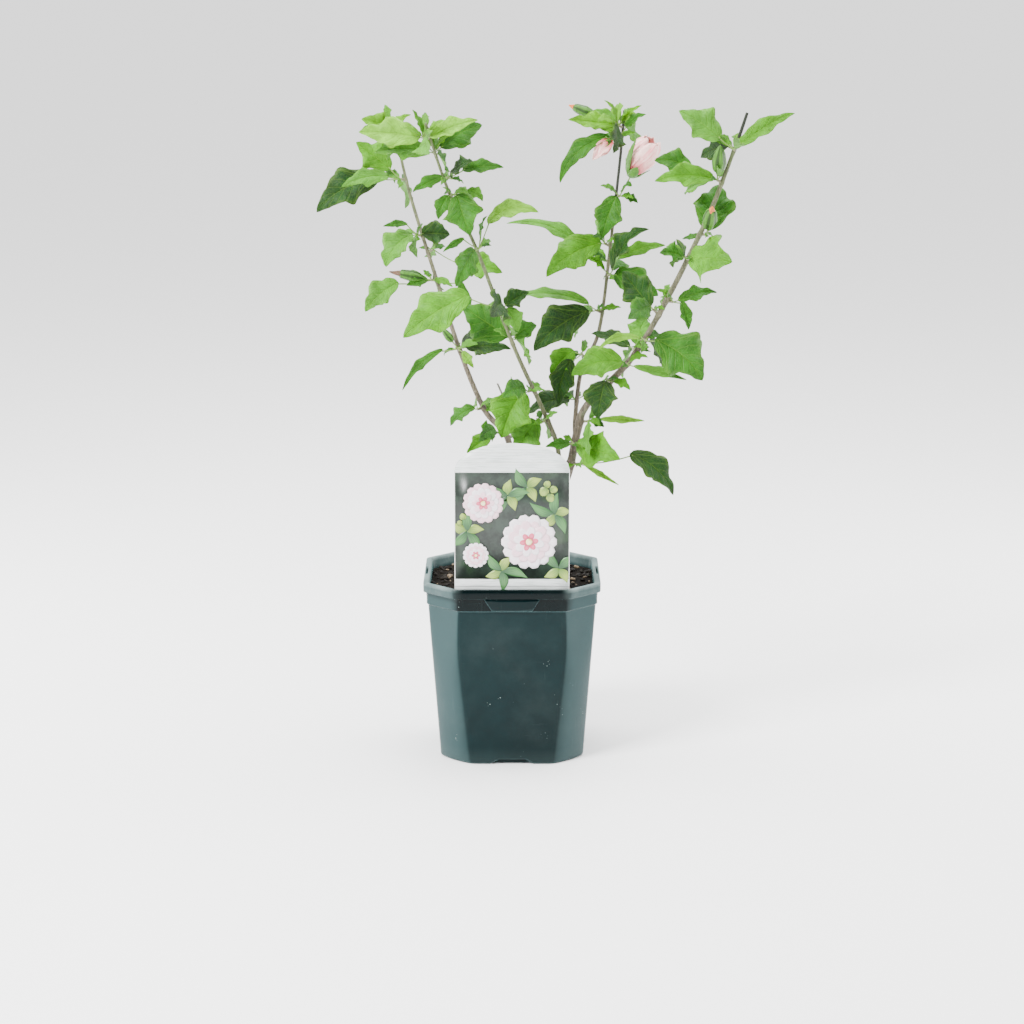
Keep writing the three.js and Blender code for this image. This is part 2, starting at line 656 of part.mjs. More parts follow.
// Half breadth of a blade along it: a rounded lozenge with a side lobe each way
function halfBreadth(leaf, s) {
  const lozenge = Math.sin(Math.PI * s ** BLADE.lean) ** BLADE.full;
  const lobe = Math.exp(-(((s - LOBE.at) / LOBE.spread) ** 2));
  return ((leaf.long * leaf.broad) / 2) * ((lozenge + leaf.lobe * lobe) / (1 + leaf.lobe));
}

// A point of the blade: s runs from base to tip, v from one margin to the other, -1 to 1
function bladePoint(leaf, s, v) {
  const dip = radians(leaf.dip);
  const droop = radians(leaf.droop) || LEAST_DROOP;
  const rise = dip - droop * s;
  const heading = [Math.cos(radians(leaf.turn)), Math.sin(radians(leaf.turn))];
  const level = (leaf.long * (Math.sin(dip) - Math.sin(rise))) / droop;
  const height = (leaf.long * (Math.cos(rise) - Math.cos(dip))) / droop;
  const along = new THREE.Vector3(heading[0] * Math.cos(rise), heading[1] * Math.cos(rise), Math.sin(rise));
  const up = new THREE.Vector3(-heading[0] * Math.sin(rise), -heading[1] * Math.sin(rise), Math.cos(rise));
  const front = new THREE.Vector3(heading[1], -heading[0], 0).multiplyScalar(heading[0] < 0 ? -1 : 1);
  const turned = radians(leaf.face + leaf.twist * (s - HABIT.twistFrom));
  const normal = up.multiplyScalar(Math.cos(turned)).addScaledVector(front, Math.sin(turned));
  const across = along.clone().cross(normal);
  const half = Math.max(halfBreadth(leaf, s), BLADE.least);
  const fold = radians(leaf.fold);
  const waveTurn = 2 * Math.PI * WAVES.count * s + leaf.phase + (v > 0 ? WAVES.rightOffset : 0);
  const wave = leaf.wave * half * Math.sin(waveTurn);
  const lobeShare = Math.exp(-(((s - LOBE.at) / LOBE.forwardSpread) ** 2));
  const lobeForward = LOBE.forward * leaf.long * leaf.lobe * lobeShare;
  const point = new THREE.Vector3(...leaf.base);
  point.x += heading[0] * level;
  point.y += heading[1] * level;
  point.z += height;
  point.addScaledVector(across, v * half * Math.cos(fold));
  point.addScaledVector(normal, Math.abs(v) * half * Math.sin(fold) + v * v * wave);
  point.addScaledVector(along, Math.abs(v) * lobeForward);
  return { point, normal, along, across };
}

// One leaf as a closed body of four-sided rings: its stalk, then its blade, thickest at the midrib
function leafBody(leaf) {
  const start = new THREE.Vector3(...leaf.start);
  const base = new THREE.Vector3(...leaf.base);
  const { along, across } = bladePoint(leaf, 0, 0);
  const stalkWay = base.clone().sub(start).normalize();
  const stalkRing = (centre, axis, radius) => {
    const side = across.clone().addScaledVector(axis, -across.dot(axis)).setLength(radius);
    const up = side.clone().cross(axis);
    const ways = [side.clone().negate(), up, side, up.clone().negate()];
    return ways.map((way) => centre.clone().add(way));
  };
  const bladeRing = (s) => {
    const [left, middle, right] = [-1, 0, 1].map((v) => bladePoint(leaf, s, v));
    const lift = (by) => middle.point.clone().addScaledVector(middle.normal, by);
    return [left.point, lift(BLADE.thick / 2), right.point, lift(-BLADE.thick / 2)];
  };
  const [root, half, end] = STALK.narrowing.map((share) => (share * STALK.thick) / 2);
  const stations = leaf.long < BLADE.small ? BLADE.smallStations : BLADE.stations;
  const rings = [
    stalkRing(start, stalkWay, root), stalkRing(start.clone().lerp(base, 0.5), stalkWay, half),
    stalkRing(base, stalkWay.clone().add(along).normalize(), end), ...stations.map(bladeRing),
  ].map((ring) => ring.map((point) => point.toArray()));
  return joinRings(rings, leaf.start, bladePoint(leaf, 1, 0).point.toArray(), { thin: true });
}

function within([least, most], random) {
  return least + (most - least) * random();
}

// The seeded rule gives each leaf its twist, fold and wavy margin
function finishLeaf(given, random) {
  const leaf = { ...LEAF, ...given };
  for (const trait of ['twist', 'fold', 'wave', 'phase']) leaf[trait] = within(HABIT[trait], random);
  return leaf;
}

function wayOf({ turn, rise }) {
  const level = new THREE.Vector3(Math.cos(radians(turn)), Math.sin(radians(turn)), 0);
  return level.multiplyScalar(Math.cos(radians(rise))).setZ(Math.sin(radians(rise)));
}

// Where a leaf's stalk runs and its blade begins, from the spur's tip
function seatLeaf(leaf, tip) {
  leaf.base = tip.clone().addScaledVector(wayOf(leaf), leaf.stalk).toArray();
  leaf.start = tip.toArray();
  return leaf;
}

function samples(leaf) {
  const list = [];
  for (const s of SAMPLE_SHARES) {
    for (const v of s < 1 ? [-1, 0, 1] : [0]) list.push(bladePoint(leaf, s, v).point);
  }
  return list;
}

function limbSamples(limb) {
  const list = [];
  const steps = (limb.places.length - 1) * LIMB_SAMPLES;
  for (let i = 0; i <= steps; i++) {
    list.push(new THREE.Vector3(...smoothPoint(limb.places, i / LIMB_SAMPLES)));
  }
  return list;
}

// The spur heads where the spray's leaves, bud and bloom head on the whole
function seatSpray(spray, index, limbs) {
  const random = seededNumbers(SEED.first + SEED.step * index);
  const heading = new THREE.Vector3();
  for (const one of [...spray.leaves, spray.bud, spray.bloom].filter(Boolean)) {
    heading.add(wayOf({ turn: one.turn, rise: 0 }));
  }
  const { start, out } = sideOf(limbs[spray.on], spray.at, Math.atan2(heading.y, heading.x), CLEAR);
  const tip = start.clone().addScaledVector(out, SPUR.long);
  tip.z += SPUR.long * SPUR.up;
  const leaves = spray.leaves.map((given) => seatLeaf(finishLeaf(given, random), tip));
  return { ...spray, index, random, start, out, tip, leaves };
}

// The rule's next leaf for a spray: it heads to the back or the front by turns
function extraLeaf(spray, count) {
  const { random, tip } = spray;
  const middle = (count + spray.index) % 2 === 0 ? EXTRA.back : EXTRA.front;
  const turn = middle + within(EXTRA.swing, random);
  const dip = within(EXTRA.dip, random);
  const long = EXTRA.least + spray.leaves[0].long * within(EXTRA.ofLead, random);
  const { rise, stalk, broad } = EXTRA;
  return seatLeaf(finishLeaf({ turn, dip, long, rise: dip + rise, stalk, broad }, random), tip);
}

// All sprays: the listed leaves first, then the rule's own, each only where it stays clear
function growSprays(limbs) {
  const grown = SPRAYS.map((spray, index) => seatSpray(spray, index, limbs));
  const taken = grown.flatMap((spray) => spray.leaves.flatMap(samples));
  const bark = Object.values(limbs).flatMap(limbSamples);
  for (const spray of grown) {
    for (let extra = 0; extra < (spray.more ?? 0); extra++) {
      for (let attempt = 0; attempt < EXTRA.tries; attempt++) {
        const leaf = extraLeaf(spray, extra + attempt);
        const points = samples(leaf);
        const near = (list, apart) => points.some((p) => list.some((q) => p.distanceTo(q) < apart));
        if (near(taken, EXTRA.apart) || near(bark, EXTRA.limbApart)) continue;
        spray.leaves.push(leaf);
        taken.push(...points);
        break;
      }
    }
  }
  return grown;
}

// A bud or bloom: a stalk and a swollen body along the same direction
function swelling(kind, given, tip) {
  const way = wayOf(given);
  const foot = tip.clone().addScaledVector(way, given.stalk);
  const path = kind.profile.map(([share]) => foot.clone().addScaledVector(way, share * given.long));
  const radii = kind.profile.map(([, wide]) => wide * kind.slim * given.long);
  const stalkPath = [tip, foot, foot.clone().addScaledVector(way, given.long * STALK.intoBud)];
  const stalk = tube(stalkPath, stalkPath.map(() => STALK.thick / 2), STALK.sides);
  return [tube(path, radii, kind.sides), stalk];
}

function makeSpray(spray) {
  const spur = tube(
    [spray.start, spray.tip, spray.tip.clone().addScaledVector(spray.out, SPUR.sunk)],
    [SPUR.thick / 2, SPUR.thick / 2, SPUR.thick / 4], SPUR.sides, spray.out,
  );
  const pieces = [spur, ...spray.leaves.map(leafBody)];
  if (spray.bud) pieces.push(...swelling(BUD, spray.bud, spray.tip));
  if (spray.bloom) pieces.push(...swelling(BLOOM, spray.bloom, spray.tip));
  return toGeometry(pieces.map(toSolid).reduce((sum, piece) => sum.add(piece)));
}

// The whole plant in its pot
const group = new THREE.Group();
group.add(named('pot', makePot(), COLOURS.pot));
group.add(named('potting_mix', makeSoil(), COLOURS.soil));
group.add(named('plant_card', makeCard(), COLOURS.card));
const limbs = layLimbs();
for (const [name, limb] of Object.entries(limbs)) group.add(named(name, makeLimb(limb, name), COLOURS.bark));
for (const spray of growSprays(limbs)) {
  const name = `spray_${spray.on.slice(5)}_${spray.at}`;
  group.add(named(name, makeSpray(spray), COLOURS.leaf));
}

export default group;
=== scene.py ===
import math

import bpy
import numpy as np
from bpy.props import FloatProperty, FloatVectorProperty, IntProperty, PointerProperty
from bpy.types import Operator, Panel, PropertyGroup
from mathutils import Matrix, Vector


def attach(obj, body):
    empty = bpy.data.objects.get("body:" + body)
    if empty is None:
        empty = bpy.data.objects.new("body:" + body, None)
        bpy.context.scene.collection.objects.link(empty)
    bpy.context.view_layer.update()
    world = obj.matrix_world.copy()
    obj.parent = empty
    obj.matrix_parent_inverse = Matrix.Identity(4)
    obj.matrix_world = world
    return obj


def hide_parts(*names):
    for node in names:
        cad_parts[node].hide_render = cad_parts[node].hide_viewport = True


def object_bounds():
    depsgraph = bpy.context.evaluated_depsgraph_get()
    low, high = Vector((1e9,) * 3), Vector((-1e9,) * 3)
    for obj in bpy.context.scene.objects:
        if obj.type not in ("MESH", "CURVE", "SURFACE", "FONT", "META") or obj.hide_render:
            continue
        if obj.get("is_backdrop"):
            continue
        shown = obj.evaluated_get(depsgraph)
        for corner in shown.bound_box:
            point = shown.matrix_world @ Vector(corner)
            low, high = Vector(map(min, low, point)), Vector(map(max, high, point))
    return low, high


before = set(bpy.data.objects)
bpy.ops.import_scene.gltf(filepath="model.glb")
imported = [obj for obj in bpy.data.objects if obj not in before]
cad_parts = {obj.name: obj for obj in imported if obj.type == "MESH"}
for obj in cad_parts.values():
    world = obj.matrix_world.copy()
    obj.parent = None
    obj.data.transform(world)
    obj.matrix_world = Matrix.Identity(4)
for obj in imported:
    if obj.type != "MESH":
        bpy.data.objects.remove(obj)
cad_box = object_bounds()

bl_info = {
    "name": "Potted hibiscus shrub",
    "version": (1, 0, 0),
    "blender": (4, 5, 0),
    "location": "3D View > Sidebar > Shrub",
    "description": "Dresses the packed shrub with leaves, bark, buds, bloom, mix, card and pot",
    "category": "Object",
}

# Shapes are worked out in millimetres, as in the part's source, and turned to metres in the mesh.
MM = 0.001

# The limbs and sprays of the part's source: names, places and sizes as there, with the tone of
# each listed leaf (l lime, b bright, m middle, s sage, d dark, p pale) and the look of each bud.
CLEAR = 0.3
LIMBS = dict(
    trunk=dict(foot=(15, 8, 167.3), course=((18, 8, 186), (24, 8, 212)), thick=(15, 10.5)),
    stem_d=dict(
        onto="trunk", thick=(9.6, 2.6),
        course=(
            (52, 7, 264), (63, 1, 312), (73, -5, 340), (120, -20, 395),
            (175, -42, 506), (203, -55, 581), (215, -60, 618),
        ),
    ),
    stem_a=dict(
        grows="trunk", at=196, turn=165, thick=(8, 2.4),
        course=(
            (2, 8, 250), (-4, 12, 302), (-26, 21, 328), (-48, 38, 377),
            (-71, 58, 444), (-99, 83, 530), (-114, 98, 592),
        ),
    ),
    stem_b=dict(
        grows="stem_d", at=266, turn=215, thick=(5.4, 2.4),
        course=(
            (43, -4, 300), (27, -12, 340), (1, -32, 400), (-33, -62, 494), (-58, -82, 549),
            (-78, -98, 611),
        ),
    ),
    stem_c=dict(
        grows="stem_d", at=296, turn=80, thick=(5.2, 2.2),
        course=(
            (61, 17, 322), (67, 25, 367), (84, 36, 404), (95, 52, 485), (105, 70, 573),
            (108, 76, 612),
        ),
    ),
    dead_stub=dict(
        grows="stem_a", at=303, turn=20, thick=(3, 1.8),
        course=((3, 12, 318), (-8, 8, 343), (-14, 6, 357)),
    ),
)
LEAF = dict(stalk=7, rise=15, droop=25, face=62, broad=0.5, lobe=0.35)
# A row a spray: its stem, its height in mm, its leaves' tones, how many more the rule may add, and
# each leaf's numbers in LEAF_ORDER, left off at the end where they are LEAF's. FLOWERS adds a bud
# or a bloom to the spray of a stem and height.
LEAF_ORDER = ("turn", "long", "dip", "rise", "stalk", "broad", "droop", "face", "lobe")
SPRAY_ROWS = (
    ("stem_a", 310, "b", 1, (208, 30, -25, -5, 9, 0.62, 15)),
    ("stem_a", 331, "m", 1, (188, 30, -5, 15, 3, 0.65, 60, 30)),
    ("stem_a", 384, "mdp", 1, (190, 56, -32, 0, 15, 0.18), (345, 45, 8, 15, 8, 0.42, 14),
     (320, 20, -35, -20, 6)),
    ("stem_a", 450, "smm", 1, (188, 44, -15, -4, 32, 0.6, 50), (200, 22, 0, 10, 4, 0.6),
     (350, 42, -62, 0, 27, 0.32)),
    ("stem_a", 476, "b", 1, (345, 42, 5, -28, 32, 0.62, 25, 70, 0.6)),
    ("stem_a", 492, "smd", 1, (200, 44, -10, 5, 5, 0.7, 75, 35), (208, 26, 10, 45, 16, 0.3),
     (10, 28, 12, 15, 4, 0.9, 30)),
    ("stem_a", 545, "dbs", 1, (192, 70, -14, 6, 22), (180, 42, 42, 45, 14, 0.72, 8, 80, 0.6),
     (212, 52, -2, 15, 14, 0.36, 12)),
    ("stem_a", 588, "lb", 2, (195, 30, 40, 30, 3, 0.7, 25, 70), (120, 18, 70, 70, 14)),
    ("stem_b", 324, "s", 1, (200, 37, -46, 15, 5, 0.9)),
    ("stem_b", 355, "b", 1, (205, 50, -50, 10, 5, 0.85, 25, 60)),
    ("stem_b", 402, "mm", 1, (162, 52, 36, 30, 4, 0.8, 10, 75), (25, 26, 35, 30, 4, 0.7, 25, 75)),
    ("stem_b", 436, "bds", 1, (190, 74, -20, 22, 34, 0.52, 22), (350, 26, 45, 40, 3, 0.8, 25, 60),
     (325, 25, -45, 0, 4, 0.75, 25, 60)),
    ("stem_b", 494, "pmm", 1, (350, 53, 56, 70, 25, 0.34, 84), (300, 26, 80, 70, 8, 0.35, 25, 70),
     (205, 24, -15, 35, 18, 0.3)),
    ("stem_b", 545, "mms", 1, (310, 40, -50, 5, 6, 0.85, 25, 40, 0.5), (205, 24, -50, -5, 4, 0.6),
     (345, 18, 0, 15, 14, 0.6, 60)),
    ("stem_b", 560, "mdm", 0, (190, 31, -12, 15, 4, 0.42), (320, 30, 45, 35, 4, 0.8, 25, 45),
     (350, 38, 18, 28, 16, 0.37)),
    ("stem_b", 582, "sm", 1, (190, 50, 6, 10, 4, 0.46, 10), (25, 46, 38, 30, 8, 0.6, 25, 60)),
    ("stem_b", 598, "pbp", 1, (182, 56, 12, 15, 5, 0.52, 14), (215, 24, 75, 60, 6, 0.35, 25, 70),
     (355, 46, 26, 20, 4, 0.4, 12)),
    ("stem_c", 338, "md", 1, (24, 25, 20, 20, 8, 0.52), (170, 46, -6, 7, 5, 0.52, 25, 48)),
    ("stem_c", 378, "bd", 1, (185, 34, -28, 25, 8, 0.7, 40), (212, 46, -60, -18, 13, 0.55)),
    ("stem_c", 421, "ds", 1, (188, 66, -25, 0, 8, 0.58, 18), (180, 84, 30, 40, 10, 0.2, 55, 40)),
    ("stem_c", 456, "bmd", 1, (225, 28, 42, 30, 9, 0.42), (340, 48, -10, 0, 4, 0.65, 25, 60),
     (320, 60, 65, 50, 4, 0.45, 30)),
    ("stem_c", 468, "sb", 1, (166, 97, 43, 9, 14, 0.14, 43), (12, 50, 20, 20, 10, 0.28, 12)),
    ("stem_c", 484, "b", 1, (203, 68, 5, 8, 4, 0.48, 62)),
    ("stem_c", 530, "mm", 0, (205, 43, -62, 5, 4, 0.62, 15), (350, 14, -10, -10, 5, 0.6)),
    ("stem_c", 584, "mm", 1, (182, 72, 0, 10, 8, 0.26, 85), (325, 26, 45, 50, 14, 0.45)),
    ("stem_c", 596, "lll", 2, (190, 46, 12, 20, 4, 0.42, 12), (220, 26, 70, 60, 4, 0.35),
     (340, 26, 55, 50, 4, 0.35)),
    ("stem_d", 280, "dp", 0, (355, 60, -18, 12, 50, 0.42, 50), (335, 40, -15, -5, 6, 0.16, 20)),
    ("stem_d", 300, "bm", 0, (322, 50, 0, -15, 3, 0.7, 15, 62, 0.5), (205, 26, 12, 10, 4, 0.45)),
    ("stem_d", 322, "pm", 1, (5, 44, 3, 8, 12, 0.2, 10), (340, 14, -10, 10, 4, 0.7)),
    ("stem_d", 362, "d", 0, (244, 38, -50, 5, 6, 0.85, 25, 12)),
    ("stem_d", 380, "bs", 0, (188, 52, 15, 20, 4, 0.58, 55), (345, 52, -18, -12, 7, 0.2, -12)),
    ("stem_d", 390, "ds", 1, (155, 42, 22, 25, 5, 0.42, 10, 40), (60, 32, 60, 55, 5, 0.8, 25, 25)),
    ("stem_d", 404, "mp", 1, (348, 60, -22, 5, 10, 0.78, 35, 62, 0.5),
     (195, 44, 12, 20, 5, 0.2, 50)),
    ("stem_d", 428, "d", 1, (150, 44, 50, 45, 4, 0.7, 8, 70)),
    ("stem_d", 442, "mm", 1, (5, 38, 18, 15, 5, 0.4, 10), (345, 28, -60, 5, 8, 0.45)),
    ("stem_d", 482, "bm", 1, (318, 48, 14, 10, 3, 0.95, 25, 55, 0.6), (205, 26, 25, 15, 4, 0.7)),
    ("stem_d", 506, "m", 0, (70, 50, 60, 18, 9, 0.8, 10, 5)),
    ("stem_d", 554, "bm", 1, (192, 56, 10, 15, 3, 0.42, 20), (168, 36, 25, 22, 26, 0.6, 25, 60)),
    ("stem_d", 584, "sb", 1, (178, 46, 32, 40, 16, 0.65, -4, 70), (355, 60, 45, 45, 5, 0.3)),
)
FLOWERS = {
    ("stem_a", 384): dict(bud=dict(turn=196, rise=52, stalk=10, long=16, look="green")),
    ("stem_a", 450): dict(bud=dict(turn=185, rise=12, stalk=8, long=34, look="withered")),
    ("stem_c", 530): dict(bloom=dict(turn=330, rise=59, stalk=22, long=44)),
    ("stem_c", 584): dict(bud=dict(turn=190, rise=-20, stalk=6, long=26, look="petal")),
    ("stem_c", 596): dict(bud=dict(turn=175, rise=22, stalk=26, long=26, look="pink")),
    ("stem_d", 506): dict(bud=dict(turn=276, rise=44, stalk=10, long=32, look="coral")),
    ("stem_d", 554): dict(bud=dict(turn=275, rise=66, stalk=8, long=28, look="green")),
}
SPRAYS = [
    dict(
        on=stem, at=height, tones=tones, more=more,
        leaves=[dict(zip(LEAF_ORDER, leaf)) for leaf in leaves], **FLOWERS.get((stem, height), {}),
    )
    for stem, height, tones, more, *leaves in SPRAY_ROWS
]
# The rule's numbers, as in the part's source: lengths in mm, turns in degrees, the rest shares.
SPUR = dict(long=3.5, up=0.3, thick=2.6)
STALK_THICK = 1.5
BLADE_LEAST = 0.5
LOBE = dict(at=0.43, spread=0.1, forward=0.09, forward_spread=0.13)
WAVES = dict(count=1.6, right_offset=1.3)
HABIT = dict(twist=(-25, 25), fold=(8, 24), wave=(0.08, 0.22), phase=(0, 2 * math.pi))
TWIST_FROM = 0.3
EXTRA = dict(
    tries=12, apart=7.5, limb_apart=6, swing=(-40, 40), dip=(-40, 10), rise=30,
    least=24, of_lead=(0.25, 0.45), stalk=8, broad=0.55,
)
SEED = dict(first=1000, step=37)
SAMPLE_SHARES = (0.1, 0.3, 0.5, 0.7, 0.9, 1)
LIMB_SAMPLES = 8
HALVINGS = 40
COURSE_STEP = 0.01
ELBOW = dict(out=0.8, up=0.3)

# The card's print, in its own plane: the source's outline and the heights that part its fields.
CARD = dict(half=54, shoulder=288, top=314, foot=168.2, front=-75.8)
PRINT = dict(header=286, footer=184)


# The seeded rule, as in the part's source

def seeded_numbers(seed):
    """Numbers from 0 to 1, the same on every run: a counter mixed by shifts and products."""
    mask = 0xFFFFFFFF
    state = seed & mask
    while True:
        state = (state + 0x6D2B79F5) & mask
        mixed = ((state ^ (state >> 15)) * (state | 1)) & mask
        mixed ^= (mixed + (((mixed ^ (mixed >> 7)) * (mixed | 61)) & mask)) & mask
        yield ((mixed ^ (mixed >> 14)) & mask) / 4294967296


def within(span, numbers):
    """A number drawn evenly from a span."""
    least, most = span
    return least + (most - least) * next(numbers)


def unit(vectors):
    """Vectors scaled to a length of one."""
    vectors = np.asarray(vectors, float)
    return vectors / np.maximum(np.linalg.norm(vectors, axis=-1, keepdims=True), 1e-12)


def way_of(turn, rise):
    """The direction with a heading seen from above and a rise over the level, in degrees."""
    turn, rise = math.radians(turn), math.radians(rise)
    return np.array([
        math.cos(turn) * math.cos(rise), math.sin(turn) * math.cos(rise), math.sin(rise),
    ])


def course_points(places, along):
    """A limb's course: the cubic through each four neighbouring places, its ends repeated."""
    places = np.asarray(places, float)
    along = np.asarray(along, float)
    last = len(places) - 1
    span = np.minimum(np.floor(along), last - 1).astype(int)
    t = (along - span)[..., None]
    a, b, c, d = (places[np.clip(span + k, 0, last)] for k in (-1, 0, 1, 2))
    square = (2 * a - 5 * b + 4 * c - d) * t * t
    return 0.5 * (2 * b + (c - a) * t + square + (3 * b - a - 3 * c + d) * t * t * t)


def limb_at(limb, height):
    """The middle, direction and radius of a limb at a height, found by halving its course."""
    low, high = 0.0, len(limb["places"]) - 1.0
    for _ in range(HALVINGS):
        middle = (low + high) / 2
        if course_points(limb["places"], middle)[2] < height:
            low = middle
        else:
            high = middle
    along = (low + high) / 2
    share = along / (len(limb["places"]) - 1)
    ahead, behind = (course_points(limb["places"], along + s) for s in (COURSE_STEP, -COURSE_STEP))
    radius = (limb["thick"][0] + (limb["thick"][1] - limb["thick"][0]) * share) / 2
    return course_points(limb["places"], along), unit(ahead - behind), radius, along


def side_of(limb, height, turn, clear):
    """Where a side growth leaves a limb's bark, and the direction straight out of the bark."""
    point, axis, radius, _ = limb_at(limb, height)
    out = np.array([math.cos(turn), math.sin(turn), 0.0])
    out = unit(out - out.dot(axis) * axis)
    return point + out * (radius + clear), out


def lay_limbs():
    """Each limb with its places: its foot, or a place on or beside the limb it grows from, and
    then its course."""
    laid = {}
    for name, limb in LIMBS.items():
        places = [limb["foot"]] if "foot" in limb else []
        first_axis = np.array([0.0, 0.0, 1.0])
        if "onto" in limb:
            under = laid[limb["onto"]]
            first_axis = limb_at(under, under["course"][-1][2])[1]
            places.append(np.asarray(under["places"][-1]) + first_axis * CLEAR)
        if "grows" in limb:
            turn = math.radians(limb["turn"])
            start, out = side_of(laid[limb["grows"]], limb["at"], turn, 2 * CLEAR)
            elbow = start + out * limb["thick"][0] * ELBOW["out"]
            elbow[2] += limb["thick"][0] * ELBOW["up"]
            places += [start, elbow]
            first_axis = out
        laid[name] = dict(limb, places=[*places, *limb["course"]], first_axis=first_axis)
    return laid


def finish_leaf(given, numbers):
    """A leaf with its twist, fold and wavy margin drawn by the rule."""
    leaf = {**LEAF, **given}
    for trait, span in HABIT.items():
        leaf[trait] = within(span, numbers)
    return leaf


def seat_leaf(leaf, tip):
    """Sets where a leaf's straight stalk starts and where its blade's foot lies."""
    leaf["start"] = tip
    leaf["base"] = tip + way_of(leaf["turn"], leaf["rise"]) * leaf["stalk"]
    return leaf


def half_breadth(leaf, s):
    """Half the blade's breadth along it: a rounded lozenge with a side lobe each way."""
    lozenge = np.sin(np.pi * s ** 0.7).clip(0) ** 0.7
    lobe = np.exp(-(((s - LOBE["at"]) / LOBE["spread"]) ** 2))
    return leaf["long"] * leaf["broad"] / 2 * (lozenge + leaf["lobe"] * lobe) / (1 + leaf["lobe"])


def blade(leaf, s, v):
    """A blade's points and its upward, lengthwise and crosswise directions.

    The midrib is an arc that bends down evenly; s runs along it and v from margin to margin, -1
    to 1, across a fold whose height waves along the margin.
    """
    s, v = np.broadcast_arrays(np.asarray(s, float), np.asarray(v, float))
    dip = math.radians(leaf["dip"])
    droop = math.radians(leaf["droop"]) or 1e-6
    rise = dip - droop * s
    turn = math.radians(leaf["turn"])
    heading = np.array([math.cos(turn), math.sin(turn), 0.0])
    level = leaf["long"] * (math.sin(dip) - np.sin(rise)) / droop
    height = leaf["long"] * (np.cos(rise) - math.cos(dip)) / droop
    sky = np.array([0.0, 0.0, 1.0])
    along = heading * np.cos(rise)[..., None] + sky * np.sin(rise)[..., None]
    up = -heading * np.sin(rise)[..., None] + sky * np.cos(rise)[..., None]
    front = np.array([heading[1], -heading[0], 0.0]) * (-1 if heading[0] < 0 else 1)
    turned = np.radians(leaf["face"] + leaf["twist"] * (s - TWIST_FROM))[..., None]
    normal = up * np.cos(turned) + front * np.sin(turned)
    across = np.cross(along, normal)
    half = np.maximum(half_breadth(leaf, s), BLADE_LEAST)
    fold = math.radians(leaf["fold"])
    offset = np.where(v > 0, WAVES["right_offset"], 0)
    wave = leaf["wave"] * half * np.sin(2 * np.pi * WAVES["count"] * s + leaf["phase"] + offset)
    lobe = np.exp(-(((s - LOBE["at"]) / LOBE["forward_spread"]) ** 2))
    forward = LOBE["forward"] * leaf["long"] * leaf["lobe"] * lobe
    points = np.asarray(leaf["base"]) + heading * level[..., None] + sky * height[..., None]
    points = points + across * (v * half * math.cos(fold))[..., None]
    points = points + normal * (np.abs(v) * half * math.sin(fold) + v * v * wave)[..., None]
    return points + along * (np.abs(v) * forward)[..., None], normal, along, across


def leaf_samples(leaf):
    """The places by which a leaf's clearance is judged: its midrib and margins at a few shares."""
    pairs = [(s, v) for s in SAMPLE_SHARES for v in ((-1, 0, 1) if s < 1 else (0,))]
    s, v = np.array(pairs, float).T
    return blade(leaf, s, v)[0]


def limb_samples(limb):
    """The places along a limb's course by which leaves keep clear of it."""
    steps = (len(limb["places"]) - 1) * LIMB_SAMPLES
    return course_points(limb["places"], np.arange(steps + 1) / LIMB_SAMPLES)


def seat_spray(spray, index, limbs):
    """The spur heads where the spray's leaves, bud and bloom head on the whole."""
    numbers = seeded_numbers(SEED["first"] + SEED["step"] * index)
    grown = [*spray["leaves"], *(spray[k] for k in ("bud", "bloom") if k in spray)]
    heading = sum(way_of(one["turn"], 0) for one in grown)
    turn = math.atan2(heading[1], heading[0])
    start, out = side_of(limbs[spray["on"]], spray["at"], turn, CLEAR)
    tip = start + out * SPUR["long"] + np.array([0, 0, SPUR["long"] * SPUR["up"]])
    leaves = [seat_leaf(finish_leaf(given, numbers), tip) for given in spray["leaves"]]
    for leaf, tone in zip(leaves, spray["tones"]):
        leaf["tone"] = tone
    name = f"spray_{spray['on'][5:]}_{spray['at']}"
    return dict(
        spray, index=index, name=name, numbers=numbers, start=start, out=out, tip=tip,
        leaves=leaves,
    )


def extra_leaf(spray, count):
    """The rule's next leaf for a spray: it heads to the back or the front by turns."""
    numbers = spray["numbers"]
    middle = 90 if (count + spray["index"]) % 2 == 0 else 270
    turn = middle + within(EXTRA["swing"], numbers)
    dip = within(EXTRA["dip"], numbers)
    long = EXTRA["least"] + spray["leaves"][0]["long"] * within(EXTRA["of_lead"], numbers)
    given = dict(
        turn=turn, dip=dip, long=long, rise=dip + EXTRA["rise"], stalk=EXTRA["stalk"],
        broad=EXTRA["broad"],
    )
    return seat_leaf(finish_leaf(given, numbers), spray["tip"])


def nearest(points, others):
    """The least distance between two sets of points."""
    return np.linalg.norm(points[:, None] - others[None], axis=2).min()


def grow_sprays(limbs):
    """The listed leaves first, then the rule's own, each only where it stays clear."""
    grown = [seat_spray(spray, index, limbs) for index, spray in enumerate(SPRAYS)]
    taken = np.concatenate([leaf_samples(leaf) for spray in grown for leaf in spray["leaves"]])
    bark = np.concatenate([limb_samples(limb) for limb in limbs.values()])
    for spray in grown:
        for extra in range(spray["more"]):
            for attempt in range(EXTRA["tries"]):
                leaf = extra_leaf(spray, extra + attempt)
                points = leaf_samples(leaf)
                if nearest(points, taken) < EXTRA["apart"]:
                    continue
                if nearest(points, bark) < EXTRA["limb_apart"]:
                    continue
                leaf["tone"] = "msd"[(spray["index"] + extra) % 3]
                spray["leaves"].append(leaf)
                taken = np.concatenate([taken, points])
                break
    return grown


# Surfaces: each function returns points in mm, quads with their corners' UVs, and triangles

